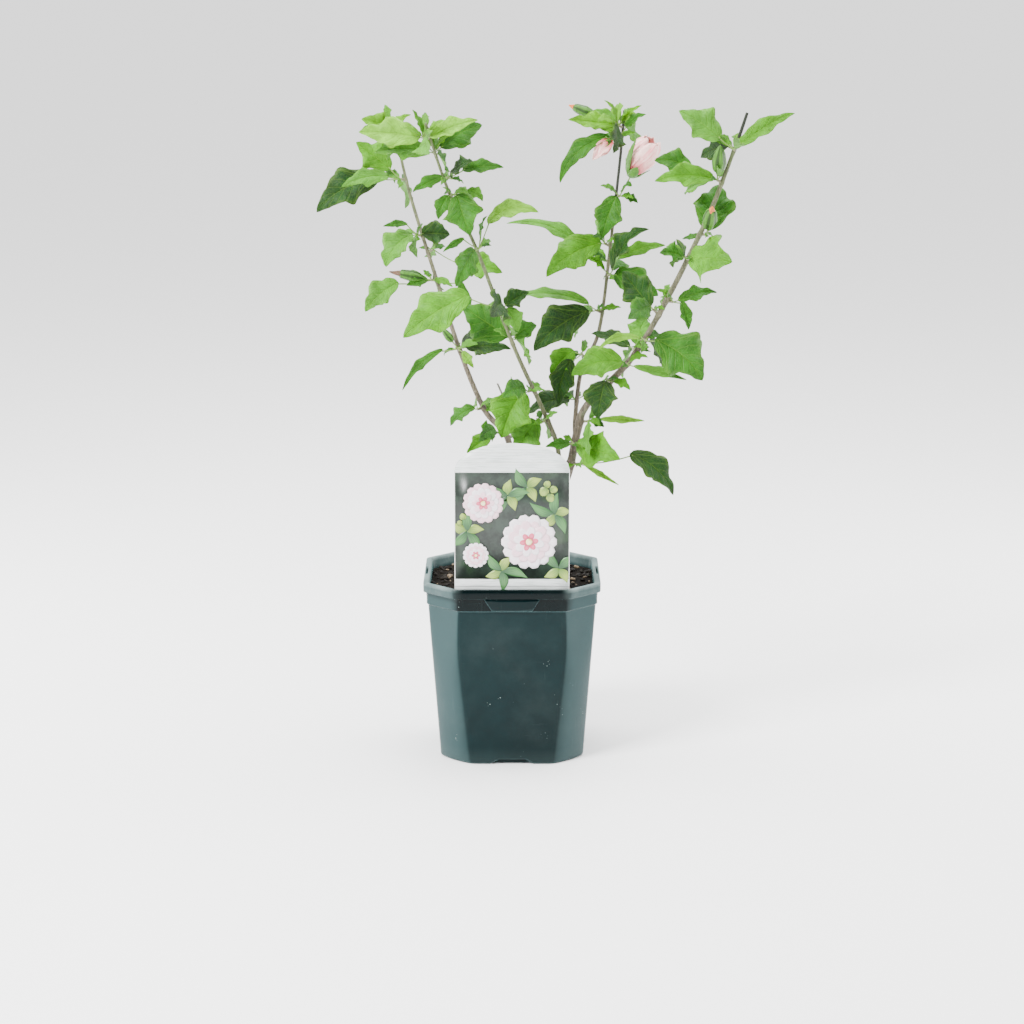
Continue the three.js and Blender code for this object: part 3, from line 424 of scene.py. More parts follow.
def grid_quads(rows, columns, around=False):
    """The quads of a grid of points, each listed so that rows turn left into columns."""
    wide = columns if around else columns - 1
    i, j = (index.ravel() for index in np.mgrid[0:rows - 1, 0:wide])
    k = (j + 1) % columns
    near, far = i * columns, (i + 1) * columns
    quads = np.stack([near + j, near + k, far + k, far + j], 1)
    u = np.stack([j, j + 1, j + 1, j], 1) / wide
    v = np.stack([i, i, i + 1, i + 1], 1) / (rows - 1)
    return quads, np.stack([u, v], 2)


def shell(top, bottom, uv=None):
    """A thin closed body: a top grid of points, the same grid beneath it turned over, and a rim
    of quads that follows the grid's border once round. Quads above each other are cut along the
    same diagonal, so that the two sides of a warped body never cross."""
    rows, columns = top.shape[:2]
    quads, quad_uv = grid_quads(rows, columns)
    if uv is not None:
        quad_uv = uv.reshape(-1, 2)[quads]
    count = rows * columns
    index = np.arange(count).reshape(rows, columns)
    border = np.concatenate([index[0, :-1], index[:-1, -1], index[-1, :0:-1], index[:0:-1, 0]])
    after = np.roll(border, -1)
    rim = np.stack([border + count, after + count, after, border], 1)
    flat_uv = np.zeros((count, 2))
    flat_uv[quads.ravel()] = quad_uv.reshape(-1, 2)
    rim_uv = flat_uv[rim % count]
    turned = [0, 3, 2, 1]
    under = quads[:, turned] + count
    points = np.concatenate([top.reshape(-1, 3), bottom.reshape(-1, 3)])
    return dict(
        points=points, quads=np.concatenate([quads, under, rim]),
        uvs=np.concatenate([quad_uv, quad_uv[:, turned], rim_uv]),
        under=(len(quads), 2 * len(quads)),
    )


def sheet_uv(crosswise, lengthwise):
    """A sheet's UVs: across from its crosswise share, -1 to 1, and up from its lengthwise share."""
    return np.stack(np.broadcast_arrays((crosswise + 1) / 2, lengthwise), -1)


def tube(path, radii, sides=8, first_axis=None, length=None):
    """A closed round body: at each place of the path a ring of the given radius, square to the
    path, and a middle point at each end. radii is one radius, one a place, or one a ring point."""
    path = np.asarray(path, float)
    axis = np.gradient(path, axis=0)
    if first_axis is not None:
        axis[0] = first_axis
    axis = unit(axis)
    steady = np.eye(3)[np.argmin(np.abs(unit(axis.mean(0))))]
    across = unit(steady - axis * (axis @ steady)[:, None])
    other = np.cross(axis, across)
    angle = (2 * np.pi * np.arange(sides) / sides)[None, :, None]
    radii = np.asarray(radii, float)
    if radii.ndim < 2:
        radii = np.broadcast_to(radii.reshape(-1, 1), (len(path), sides))
    ring = across[:, None] * np.cos(angle) + other[:, None] * np.sin(angle)
    return closed_rings(path[:, None] + radii[:, :, None] * ring, path[0], path[-1], length)


def closed_rings(rings, first_middle, last_middle, length=None):
    """A closed body of rings of points, row upon row, with a middle point at each end. length is
    the share along the body that its UVs carry from the first row to the last."""
    rows, sides = rings.shape[:2]
    points = rings.reshape(-1, 3)
    quads, uvs = grid_quads(rows, sides, around=True)
    if length is not None:
        low, high = length
        uvs[:, :, 1] = low + (high - low) * uvs[:, :, 1]
    j = np.arange(sides)
    k = (j + 1) % sides
    first = len(points)
    base = (rows - 1) * sides
    tris = np.concatenate([
        np.stack([np.full(sides, first), k, j], 1),
        np.stack([np.full(sides, first + 1), base + j, base + k], 1),
    ])
    tri_uvs = np.zeros((len(tris), 3, 2))
    tri_uvs[:, :, 1] = np.repeat([uvs[0, 0, 1], uvs[-1, 2, 1]], sides)[:, None]
    points = np.concatenate([points, [first_middle, last_middle]])
    return dict(points=points, quads=quads, uvs=uvs, tris=tris, tri_uvs=tri_uvs)


class Pile:
    """Closed bodies gathered into one mesh, each with the number of its material."""

    def __init__(self):
        self.points, self.corners, self.sizes, self.uvs, self.numbers = [], [], [], [], []
        self.count = 0

    def add(self, body, number=0, under=None):
        """Adds a body. under, if given, is the material of the lower side of a shell."""
        self.points.append(body["points"])
        numbers = np.full(len(body["quads"]), number)
        if under is not None:
            numbers[slice(*body["under"])] = under
        self.take(body["quads"], body["uvs"], numbers)
        if "tris" in body:
            self.take(body["tris"], body["tri_uvs"], np.full(len(body["tris"]), number))
        self.count += len(body["points"])

    def take(self, faces, uvs, numbers):
        self.corners.append((faces + self.count).ravel())
        self.sizes.append(np.full(len(faces), faces.shape[1]))
        self.uvs.append(uvs.reshape(-1, 2))
        self.numbers.append(numbers)

    def build(self, name, materials, slot, *nodes):
        """The pile as one object at the origin that rides with the plant."""
        mesh = bpy.data.meshes.new(name)
        points = np.concatenate(self.points) * MM
        corners = np.concatenate(self.corners).astype(np.int32)
        sizes = np.concatenate(self.sizes).astype(np.int32)
        mesh.vertices.add(len(points))
        mesh.vertices.foreach_set("co", points.astype(np.float32).ravel())
        mesh.loops.add(len(corners))
        mesh.loops.foreach_set("vertex_index", corners)
        mesh.polygons.add(len(sizes))
        mesh.polygons.foreach_set("loop_start", (np.cumsum(sizes) - sizes).astype(np.int32))
        mesh.polygons.foreach_set("material_index", np.concatenate(self.numbers).astype(np.int32))
        mesh.polygons.foreach_set("use_smooth", np.ones(len(sizes), bool))
        layer = mesh.uv_layers.new(name="UVMap")
        layer.uv.foreach_set("vector", np.concatenate(self.uvs).astype(np.float32).ravel())
        mesh.update(calc_edges=True)
        if mesh.validate():
            raise RuntimeError(f"{name}: the mesh had to be repaired")
        for material in materials:
            mesh.materials.append(material)
        piece = bpy.data.objects.new(name, mesh)
        bpy.context.scene.collection.objects.link(piece)
        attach(piece, "root")
        if nodes:
            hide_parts(*nodes)


def ripple(seed, *shares):
    """A smooth uneven field from -1 to 1: six sine waves of seeded directions added up."""
    numbers = seeded_numbers(seed)
    total = 0
    for _ in range(6):
        phase = within((0, 2 * math.pi), numbers)
        total = total + np.sin(sum(within((-3, 3), numbers) * share for share in shares) + phase)
    return total / 6


# Materials

class Net:
    """A node tree being wired. A socket may be given a value or another node's output."""

    def __init__(self, tree):
        self.tree = tree

    def make(self, kind, values=None, **settings):
        """A new node with its settings and with the values of its sockets."""
        node = self.tree.nodes.new(kind)
        for key, value in settings.items():
            setattr(node, key, value)
        for key, value in (values or {}).items():
            self.feed(node.inputs[key], value)
        return node

    def feed(self, socket, value):
        """Links a socket to an output, or sets it to a value."""
        if isinstance(value, bpy.types.NodeSocket):
            self.tree.links.new(value, socket)
        else:
            socket.default_value = value

    # Each of these makes a node and returns its output.

    def math(self, operation, first, second=0.0):
        return self.make("ShaderNodeMath", {0: first, 1: second}, operation=operation).outputs[0]

    def plus(self, first, second):
        return self.math("ADD", first, second)

    def minus(self, first, second):
        return self.math("SUBTRACT", first, second)

    def times(self, first, second):
        return self.math("MULTIPLY", first, second)

    def absolute(self, value):
        return self.math("ABSOLUTE", value)

    def most(self, first, *others):
        """The greatest of some values."""
        for other in others:
            first = self.math("MAXIMUM", first, other)
        return first

    def step(self, value, low, high, start=0.0, end=1.0):
        """A smooth step: start below low, end above high."""
        node = self.make("ShaderNodeMapRange", {0: value, 1: low, 2: high, 3: start, 4: end})
        node.interpolation_type = "SMOOTHSTEP"
        return node.outputs[0]

    def mix(self, share, first, second):
        node = self.make("ShaderNodeMix", {0: share, 6: first, 7: second}, data_type="RGBA")
        return node.outputs[2]

    def stretch(self, vector, by):
        return self.make("ShaderNodeMapping", {"Vector": vector, "Scale": by}).outputs[0]

    def place(self, stretch=(1, 1, 1)):
        """Object coordinates, stretched along the axes."""
        return self.stretch(self.make("ShaderNodeTexCoord").outputs["Object"], stretch)

    def uv(self):
        """The piece's own UV map."""
        return self.make("ShaderNodeUVMap", uv_map="UVMap").outputs[0]

    def split(self, vector):
        """A vector's three parts."""
        return self.make("ShaderNodeSeparateXYZ", {0: vector}).outputs

    def noise(self, vector, scale, detail=3.0, roughness=0.55):
        values = {"Vector": vector, "Scale": scale, "Detail": detail, "Roughness": roughness}
        return self.make("ShaderNodeTexNoise", values).outputs[0]

    def cells(self, vector, scale, feature="F1"):
        node = self.make("ShaderNodeTexVoronoi", feature=feature)
        self.feed(node.inputs["Vector"], vector)
        self.feed(node.inputs["Scale"], scale)
        return node.outputs["Distance"]

    def group(self, tree, values):
        """A node group's outputs, with its inputs fed."""
        node = self.tree.nodes.new("ShaderNodeGroup")
        node.node_tree = tree
        for key, value in values.items():
            self.feed(node.inputs[key], value)
        return node.outputs


def effect(name, inputs, outputs, wire):
    """A shader node group, built once. inputs and outputs give each socket's name and its default:
    a number, or four numbers for a colour. wire returns the outputs' values from the inputs."""
    if name in bpy.data.node_groups:
        return bpy.data.node_groups[name]
    tree = bpy.data.node_groups.new(name, "ShaderNodeTree")
    for way, sockets in (("INPUT", inputs), ("OUTPUT", outputs)):
        for label, value in sockets.items():
            kind = "NodeSocketColor" if isinstance(value, tuple) else "NodeSocketFloat"
            socket = tree.interface.new_socket(name=label, in_out=way, socket_type=kind)
            socket.default_value = value
    net = Net(tree)
    source = net.make("NodeGroupInput").outputs
    sink = net.make("NodeGroupOutput").inputs
    for label, value in wire(net, source).items():
        net.feed(sink[label], value)
    return tree


WHITE = (1.0, 1.0, 1.0, 1.0)


def mottle():
    """Colour that wanders between two tones in soft patches."""
    def wire(net, given):
        coarse = net.noise(net.place(), given["Scale"], 4.0)
        fine = net.noise(net.place(), net.times(given["Scale"], 6.0), 2.0)
        mask = net.step(net.plus(coarse, net.times(fine, 0.35)), 0.5, 0.85)
        return {"Color": net.mix(mask, given["Light"], given["Dark"]), "Mask": mask}
    inputs = {"Light": WHITE, "Dark": WHITE, "Scale": 40.0}
    return effect("mottle", inputs, {"Color": WHITE, "Mask": 0.0}, wire)


def mottled(net, light, dark, scale):
    """The mottle of two tones, and its mask."""
    return net.group(mottle(), {"Light": light, "Dark": dark, "Scale": scale})


def scuffs():
    """Fine rubbed scratches: noise drawn out upwards and sideways, kept in patches at its peaks."""
    def wire(net, given):
        first = net.noise(net.place((1, 1, 0.08)), given["Scale"], 5.0)
        second = net.noise(net.place((0.1, 0.1, 1)), given["Scale"], 5.0)
        patches = net.step(net.noise(net.place(), 14.0, 2.0), 0.45, 0.62)
        peaks = net.most(net.step(first, 0.6, 0.72), net.step(second, 0.62, 0.74))
        return {"Mask": net.times(net.times(peaks, patches), given["Amount"])}
    return effect("scuffs", {"Scale": 260.0, "Amount": 1.0}, {"Mask": 0.0}, wire)


def specks():
    """Small round specks: the hearts of scattered cells, thinned out by a coarse noise."""
    def wire(net, given):
        cells = net.cells(net.place(), given["Scale"])
        dots = net.step(cells, 0.08, 0.2, 1.0, 0.0)
        thinned = net.step(net.noise(net.place(), 55.0, 2.0), given["Rarity"], 0.75)
        return {"Mask": net.times(dots, thinned)}
    return effect("specks", {"Scale": 260.0, "Rarity": 0.5}, {"Mask": 0.0}, wire)


# Side veins along each half of a blade and their forward slant, and the pairs of veins that run
# into the lobes: slope, where they end and how strongly they show.
SIDE_VEINS = 7
VEIN_SLANT = 0.22
LOBE_VEINS = ((2.2, 0.44, 0.9), (5.0, 0.2, 0.7))


def leaf_veins():
    """A leaf's veins in its own lengthwise and crosswise shares: the midrib, two pairs that run
    from the base into the lobes, side veins that slant forward, and a fine net between them."""
    def wire(net, given):
        uv = net.uv()
        crosswise, along, _ = net.split(uv)
        out = net.absolute(net.minus(net.times(crosswise, 2.0), 1.0))
        width = given["Width"]

        def line(distance, least, most, strength=1.0):
            return net.times(net.step(distance, least, most, 1.0, 0.0), strength)

        marks = [line(out, net.times(width, 0.5), net.times(width, 1.6))]
        for slope, reach, strength in LOBE_VEINS:
            away = net.absolute(net.minus(out, net.times(along, slope)))
            near = net.step(along, reach, reach + 0.06, 1.0, 0.0)
            marks.append(net.times(line(away, width, net.times(width, 2.4), strength), near))
        slant = net.minus(along, net.times(out, VEIN_SLANT))
        beat = net.math("FRACT", net.times(slant, float(SIDE_VEINS)))
        away = net.absolute(net.minus(beat, 0.5))
        marks.append(line(away, 0.02, 0.13, 0.6))
        mask = net.most(*marks)
        meshes = net.cells(net.stretch(uv, (11, 17, 1)), 1.6, "DISTANCE_TO_EDGE")
        fine = net.step(meshes, 0.02, 0.16)
        height = net.minus(net.times(fine, 0.3), mask)
        return {
            "Mask": mask, "Height": height, "Net": net.minus(1.0, fine),
            "Margin": net.step(out, 0.72, 1.0),
        }
    outputs = {"Mask": 0.0, "Height": 0.0, "Net": 0.0, "Margin": 0.0}
    return effect("leaf veins", {"Width": 0.035}, outputs, wire)


def petal_veins():
    """Fine veins that run up a petal, and a deep heart with a ragged end at its foot, from its
    lengthwise and crosswise shares."""
    def wire(net, given):
        uv = net.uv()
        lines = net.step(net.noise(net.stretch(uv, (16, 1.6, 1)), 1.2, 3.0), 0.5, 0.66)
        along = net.split(uv)[1]
        ragged = net.plus(along, net.times(net.minus(net.noise(uv, 6.0), 0.5), 0.5))
        heart = net.step(ragged, 0.05, given["Heart"], 1.0, 0.0)
        return {"Lines": lines, "Heart": net.times(heart, heart)}
    return effect("petal veins", {"Heart": 0.4}, {"Lines": 0.0, "Heart": 0.0}, wire)


def bark_relief():
    """Bark: long shallow furrows with small warts on them."""
    def wire(net, given):
        furrows = net.noise(net.place((1, 1, 0.16)), given["Scale"], 6.0, 0.65)
        warts = net.step(net.cells(net.place((1, 1, 0.6)), 420.0), 0.1, 0.3, 1.0, 0.0)
        height = net.plus(furrows, net.times(warts, 0.3))
        return {"Height": height, "Furrows": net.step(furrows, 0.4, 0.62), "Warts": warts}
    outputs = {"Height": 0.0, "Furrows": 0.0, "Warts": 0.0}
    return effect("bark relief", {"Scale": 420.0}, outputs, wire)


def grain():
    """Wood grain: streaks drawn out along the planks."""
    def wire(net, given):
        streaks = net.noise(net.place((0.06, 1, 1)), given["Scale"], 5.0, 0.7)
        return {"Mask": net.step(streaks, 0.42, 0.66)}
    return effect("grain", {"Scale": 900.0}, {"Mask": 0.0}, wire)


def colour(values):
    """A colour with its opacity."""
    return (*values[:3], 1.0)


def shade(values, by):
    """A colour made darker, or lighter where by is above one."""
    return (*(min(1.0, value * by) for value in values[:3]), 1.0)


def material(name, constants, wire):
    """A material: a Principled shader with its constants on its own sockets, and a wire function
    that returns the sockets to link, with Height for a bump and its Strength and Distance."""
    made = bpy.data.materials.new(name)
    made.use_nodes = True
    net = Net(made.node_tree)
    shader = made.node_tree.nodes["Principled BSDF"]
    for label, value in constants.items():
        shader.inputs[label].default_value = value
    linked = wire(net)
    if "Height" in linked:
        bump = net.make("ShaderNodeBump", {
            "Height": linked.pop("Height"), "Strength": linked.pop("Strength", 0.5),
            "Distance": linked.pop("Distance", 0.001),
        })
        linked["Normal"] = bump.outputs[0]
    for label, value in linked.items():
        net.feed(shader.inputs[label], value)
    made.diffuse_color = colour(constants.get("Base Color", (0.5, 0.5, 0.5)))
    return made


# Settings that a user would change

def tint(name, description, default):
    return FloatVectorProperty(
        name=name, description=description, subtype="COLOR", size=3, min=0, max=1, default=default,
    )


def share(name, description, default, high=1.0):
    return FloatProperty(
        name=name, description=description, subtype="FACTOR", min=0, max=high, default=default,
    )


def span(name, description, default):
    return FloatProperty(
        name=name, description=description, subtype="DISTANCE", unit="LENGTH", min=0,
        default=default,
    )


class ShrubFoliageSettings(PropertyGroup):
    """Sizes and colours of the leaves and their stalks."""
    lime: tint("Lime", "Youngest leaves at the tips", (0.11, 0.34, 0.0))
    bright: tint("Bright", "Young leaves in full light", (0.07, 0.27, 0.003))
    middle: tint("Middle", "Grown leaves", (0.023, 0.135, 0.004))
    sage: tint("Sage", "Leaves seen on their dull side", (0.075, 0.27, 0.015))
    dark: tint("Dark", "Old leaves", (0.003, 0.036, 0.0015))
    pale: tint("Pale", "Washed-out slender leaves", (0.17, 0.44, 0.02))
    vein: tint("Veins", "Veins of the upper side", (0.25, 0.42, 0.04))
    stalk: tint("Stalks", "Leaf stalks", (0.16, 0.28, 0.045))
    tooth: share("Depth of teeth", "Depth of a tooth against half the blade's breadth", 0.14)
    spread: share("Spread", "Reach of a blade's margins against the source's", 1.06, high=1.2)
    pillow: share("Pillows", "How far a blade swells between its side veins", 0.15)
    thick: span("Thickness", "Thickness of a blade at its middle", 0.0007)
    teeth: IntProperty(
        name="Number of teeth", description="Teeth along each margin", default=5, min=1, max=12,
    )


class ShrubBarkSettings(PropertyGroup):
    """Colours and relief of the stems."""
    old: tint("Old bark", "Bark of the trunk and of the lower stems", (0.09, 0.072, 0.048))
    young: tint("Young wood", "Green wood towards the tips", (0.09, 0.125, 0.04))
    relief: share("Relief", "Depth of the bark's furrows against the radius", 0.05)
    knot: share("Knots", "Swelling of a stem where a spray stands on it", 0.2)


class ShrubBloomSettings(PropertyGroup):
    """Colours of the bloom and buds."""
    petal: tint("Petal", "Petals", (0.98, 0.66, 0.6))
    coral: tint("Coral", "Petals that show at a bud's tip", (0.6, 0.16, 0.01))
    heart: tint("Heart", "Foot of a petal", (0.5, 0.02, 0.05))
    calyx: tint("Calyx", "Sepals and bracts", (0.04, 0.13, 0.008))
    brown: tint("Withered", "Withered petals", (0.07, 0.035, 0.018))


class ShrubMixSettings(PropertyGroup):
    """The potting mix."""
    dark: tint("Mix", "Moist bark and peat", (0.0022, 0.0016, 0.001))
    pale: tint("Flecks", "Pale chips of bark", (0.2, 0.14, 0.08))
    chips: IntProperty(
        name="Chips", description="Loose chips on the mix", default=520, min=0, max=2000,
    )


class ShrubCardSettings(PropertyGroup):
    """The picture card."""
    board: tint("Board", "Bare card", (0.8, 0.81, 0.79))
    field: tint("Field", "Ground of the picture", (0.009, 0.016, 0.011))
    planks: tint("Planks", "White-washed planks at the head and foot", (0.74, 0.78, 0.77))


class ShrubPotSettings(PropertyGroup):
    """The pot's plastic."""
    plastic: tint("Plastic", "Dark petrol plastic", (0.0016, 0.0095, 0.0105))
    worn: tint("Worn", "Rubbed and dusty rim", (0.2, 0.26, 0.25))
    # Painted reflection: a lighter colour mixed into the plastic on faces that turn away from the
    # eye, standing in for reflections.
    painted_sheen: tint("Sheen", "Faces that turn away from the eye", (0.13, 0.23, 0.235))
    dust: share("Dust", "Dust and scale on the wall", 0.2)


class ShrubStageSettings(PropertyGroup):
    """Camera, floor and lights."""
    lens: FloatProperty(
        name="Lens", description="Focal length in mm for a 36 mm sensor", default=94.57, min=1,
    )
    distance: span("Distance", "From the pot's axis to the camera", 2.54)
    height: span("Height", "Camera above the floor", 0.77)
    pitch: FloatProperty(
        name="Pitch", description="Downward tilt of the camera", subtype="ANGLE",
        default=math.radians(11.95),
    )
    floor: tint("Floor", "Plain floor", (0.9, 0.9, 0.9))


# Foliage

BLADE_COLUMNS = np.array([-1, -0.84, -0.6, -0.33, -0.07, 0, 0.07, 0.33, 0.6, 0.84, 1])
BLADE_ROWS = 29
YOUNG_ROWS = 15
TONES = {"l": "lime", "b": "bright", "m": "middle", "s": "sage", "d": "dark", "p": "pale"}
UNDERSIDE = dict(tone=(0.13, 0.32, 0.06), vein=(0.3, 0.5, 0.14))
STALK_SAG = 0.05
SPUR_TONES = ((0.2, 0.22, 0.1), (0.14, 0.12, 0.08))
# A lobe's shoulder on the margin: its place and reach along the blade, its height, and the most
# that a strong lobe raises it.
SHOULDER = dict(at=0.56, spread=0.09, high=0.22, most=1.6)
# The teeth: where along the blade they start and end and over what stretches, how far each leans,
# the shift between the two margins and how far each is drawn forward.
TEETH = dict(start=0.14, starting=0.12, end=0.97, ending=0.06, lean=0.62, shift=0.15, forward=0.25)
# The curl of the tip from a share of the length on, the waves of the margin and the sideways bow.
CURL = dict(start=0.62, least=0.05, more=0.05)
MARGIN = dict(high=0.24, waves=3.1)
BOW = 0.045
# The thinning of a blade towards its margin, its raised midrib and the pinch at its very tip.
THINNING = 0.65
RIB = dict(foot=0.6, tip=0.1, above=0.4, below=0.8)
PINCH = dict(start=0.98, to=0.35)
# Young leaves: what they share, then how many, how long and how steep they are low down and in the
# crown.
YOUNG = dict(
    seed=5000, crown_from=575, tries=14, stalk=(2, 6), broad=(0.36, 0.55), droop=(10, 60), face=45,
    apart=4, limb_apart=3,
)
YOUNG_LOW = dict(count=3, long=(10, 22), rise=(-10, 50))
YOUNG_CROWN = dict(count=9, long=(15, 30), rise=(25, 80))


def leaf_body(leaf, settings, rows=BLADE_ROWS, columns=BLADE_COLUMNS):
    """A leaf's blade: the source's blade with forward teeth on its margins, a swelling between
    every two side veins, a rippled margin, and a thickness that thins towards the margin."""
    s = np.linspace(0, 1, rows)[:, None]
    v = columns[None]
    points, normal, along, across = blade(leaf, s, v * settings.spread)
    edge = np.abs(v)
    half = np.maximum(half_breadth(leaf, s), BLADE_LEAST)
    broad_share = np.clip((leaf["broad"] - 0.2) / 0.25, 0, 1)
    lobed = min(SHOULDER["most"], leaf["lobe"] / LEAF["lobe"]) * broad_share
    shoulder = SHOULDER["high"] * np.exp(-((s - SHOULDER["at"]) / SHOULDER["spread"]) ** 2)
    fade = np.clip((s - TEETH["start"]) / TEETH["starting"], 0, 1)
    fade = fade * np.clip((TEETH["end"] - s) / TEETH["ending"], 0, 1)
    saw = (s * settings.teeth + TEETH["shift"] * np.sign(v) + 0.1 * leaf["phase"]) % 1.0
    blunt = np.sin(np.pi * saw ** TEETH["lean"]) - 0.6
    tooth = (settings.tooth * blunt * fade + shoulder * lobed) * edge ** 4
    points = points + across * (np.sign(v) * half * tooth)[..., None]
    points = points + along * (TEETH["forward"] * half * tooth)[..., None]
    beat = np.abs(np.cos(np.pi * SIDE_VEINS * (s - VEIN_SLANT * edge)))
    swell = settings.pillow * half * np.sin(np.pi * edge) * (beat - 0.3) * fade
    margin_turn = 2 * np.pi * MARGIN["waves"] * s + leaf["phase"] * (2 + np.sign(v))
    margin = MARGIN["high"] * half * edge ** 3 * np.sin(margin_turn) * fade
    curled = leaf["long"] * (CURL["least"] + CURL["more"] * math.sin(3 * leaf["phase"]))
    curl = curled * np.clip((s - CURL["start"]) / (1 - CURL["start"]), 0, 1) ** 2
    points = points + normal * (swell + margin - curl)[..., None]
    bow = BOW * leaf["long"] * np.sin(np.pi * s) * math.sin(leaf["phase"])
    points = points + across * bow[..., None]
    middle = points[:, len(columns) // 2][:, None]
    points = middle + (points - middle) * np.where(s > PINCH["start"], PINCH["to"], 1.0)[..., None]
    thick = settings.thick / MM * (1 - THINNING * edge ** 4) * np.ones_like(s)
    rib = np.where(edge < 0.01, (RIB["foot"] - RIB["tip"]) * (1 - s) + RIB["tip"], 0.0)
    top = points + normal * (thick / 2 - RIB["above"] * rib)[..., None]
    bottom = points - normal * (thick / 2 + RIB["below"] * rib)[..., None]
    return shell(top, bottom, sheet_uv(v, s))


def stalk_body(leaf):
    """A leaf's stalk: a slender tube that sags a little between the spur and the blade."""
    t = np.linspace(0, 1, 7)[:, None]
    end = blade(leaf, 0.06, 0.0)[0]
    path = np.asarray(leaf["start"]) * (1 - t) + end * t
    path[:, 2] -= STALK_SAG * leaf["stalk"] * np.sin(np.pi * t[:, 0])
    radii = STALK_THICK / 2 * (0.72 + 0.5 * (2 * t[:, 0] - 0.9) ** 4)
    radii[-1] *= 0.6
    return tube(path, radii, sides=6)


def spur_body(spray):
    """The short knotty spur that a spray's stalks stand on, sunk in the bark."""
    t = np.linspace(-0.35, 1.25, 9)
    path = spray["start"] + (spray["tip"] - spray["start"]) * t[:, None]
    radii = SPUR["thick"] / 2 * (0.95 + 0.12 * np.sin(9 * t)) * np.where(t > 1.15, 0.6, 1.0)
    return tube(path, radii, sides=8)


def young_leaves(sprays, limbs):
    """Unfolding leaves about each spur's tip, more and longer in the crown, by seeded numbers of
    their own. Each is kept only where it stays clear of the other leaves and of the bark."""
    taken = np.concatenate([leaf_samples(leaf) for spray in sprays for leaf in spray["leaves"]])
    bark = np.concatenate([limb_samples(limb) for limb in limbs.values()])
    grown = []
    for spray in sprays:
        numbers = seeded_numbers(YOUNG["seed"] + SEED["step"] * spray["index"])
        crown = spray["at"] >= YOUNG["crown_from"]
        habit = YOUNG_CROWN if crown else YOUNG_LOW
        for k in range(habit["count"]):
            for _ in range(YOUNG["tries"]):
                rise = within(habit["rise"], numbers)
                given = dict(
                    turn=within((0, 360), numbers), rise=rise, dip=rise,
                    stalk=within(YOUNG["stalk"], numbers), long=within(habit["long"], numbers),
                    droop=within(YOUNG["droop"], numbers), broad=within(YOUNG["broad"], numbers),
                    face=YOUNG["face"],
                )
                leaf = seat_leaf(finish_leaf(given, numbers), spray["tip"])
                # The first three samples lie at the spur itself, so they aren't judged.
                points = leaf_samples(leaf)[3:]
                if nearest(points, taken) < YOUNG["apart"]:
                    continue
                if nearest(points, bark) < YOUNG["limb_apart"]:
                    continue
                leaf["tone"] = "lb"[k % 2] if crown else "bms"[(k + spray["index"]) % 3]
                taken = np.concatenate([taken, points])
                grown.append(leaf)
                break
    return grown


def leaf_material(name, tone, vein, under=False):
    """A leaf's skin: its tone in soft patches, paler veins, a fine net and a satin gloss."""
    def wire(net):
        patches = mottled(net, shade(tone, 1.2), shade(tone, 0.66), 70.0)
        veins = net.group(leaf_veins(), {"Width": 0.05 if under else 0.035})
        line = colour([0.75 * a + 0.25 * b for a, b in zip(tone, vein)])
        broad = net.step(net.noise(net.place(), 12.0 if under else 22.0, 1.0), 0.35, 0.65)
        deep = net.mix(0.5 if under else 0.28, patches["Color"], shade(tone, 0.3))
        base = net.mix(broad, deep, patches["Color"])
        for part, strength in (("Margin", 0.4), ("Mask", 0.45), ("Net", 0.2)):
            base = net.mix(net.times(veins[part], strength), base, line)
        return {
            "Base Color": base, "Strength": 0.7, "Distance": 0.001,
            "Roughness": net.plus(net.times(patches["Mask"], 0.12), 0.62 if under else 0.45),
            "Height": net.times(veins["Height"], -1.0 if under else 1.0),
        }
    return material(name, {"Specular IOR Level": 0.15 if under else 0.2}, wire)


def plain_bark(name, low, high, relief, specular=0.4):
    """A green or grey skin with the bark's relief on it, for stalks, spurs and calyxes."""
    def wire(net):
        bark = net.group(bark_relief(), {"Scale": 500.0})
        base = net.mix(bark["Furrows"], colour(low), colour(high))
        return {
            "Base Color": base, "Height": bark["Height"], "Strength": relief, "Distance": 0.0004,
        }
    return material(name, {"Roughness": 0.55, "Specular IOR Level": specular}, wire)


class SHRUB_OT_leaves(Operator):
    """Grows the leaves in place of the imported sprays"""
    bl_idname = "shrub.leaves"
    bl_label = "Grow leaves"

    def execute(self, context):
        settings = context.scene.shrub_foliage
        limbs = lay_limbs()
        sprays = grow_sprays(limbs)
        tones = list(TONES)
        pile = Pile()
        for spray in sprays:
            for leaf in spray["leaves"]:
                pile.add(leaf_body(leaf, settings), tones.index(leaf["tone"]), under=len(tones))
        small = BLADE_COLUMNS[::2]
        for leaf in young_leaves(sprays, limbs):
            body = leaf_body(leaf, settings, YOUNG_ROWS, small)
            pile.add(body, tones.index(leaf["tone"]), under=len(tones))
        skins = [
            leaf_material(f"leaf {name}", getattr(settings, name), settings.vein)
            for name in TONES.values()
        ]
        skins.append(leaf_material("leaf underside", **UNDERSIDE, under=True))
        pile.build("leaves", skins, "foliage", *(spray["name"] for spray in sprays))
        return {"FINISHED"}


class SHRUB_OT_stalks(Operator):
    """Adds the leaf stalks and the spurs that they stand on"""
    bl_idname = "shrub.stalks"
    bl_label = "Grow stalks and spurs"

    def execute(self, context):
        settings = context.scene.shrub_foliage
        stalks, spurs = Pile(), Pile()
        limbs = lay_limbs()
        sprays = grow_sprays(limbs)
        for spray in sprays:
            spurs.add(spur_body(spray))
            for leaf in spray["leaves"]:
                stalks.add(stalk_body(leaf))
            for kind in ("bud", "bloom"):
                if kind in spray:
                    stalks.add(flower_stalk(spray[kind], spray["tip"]))
        for leaf in young_leaves(sprays, limbs):
            stalks.add(stalk_body(leaf))
        skin = plain_bark("stalk skin", settings.stalk, shade(settings.stalk, 0.7), 0.3)
        stalks.build("leaf_stalks", [skin], "foliage")
        spurs.build("spurs", [plain_bark("spur skin", *SPUR_TONES, 0.6)], "bark")
        return {"FINISHED"}


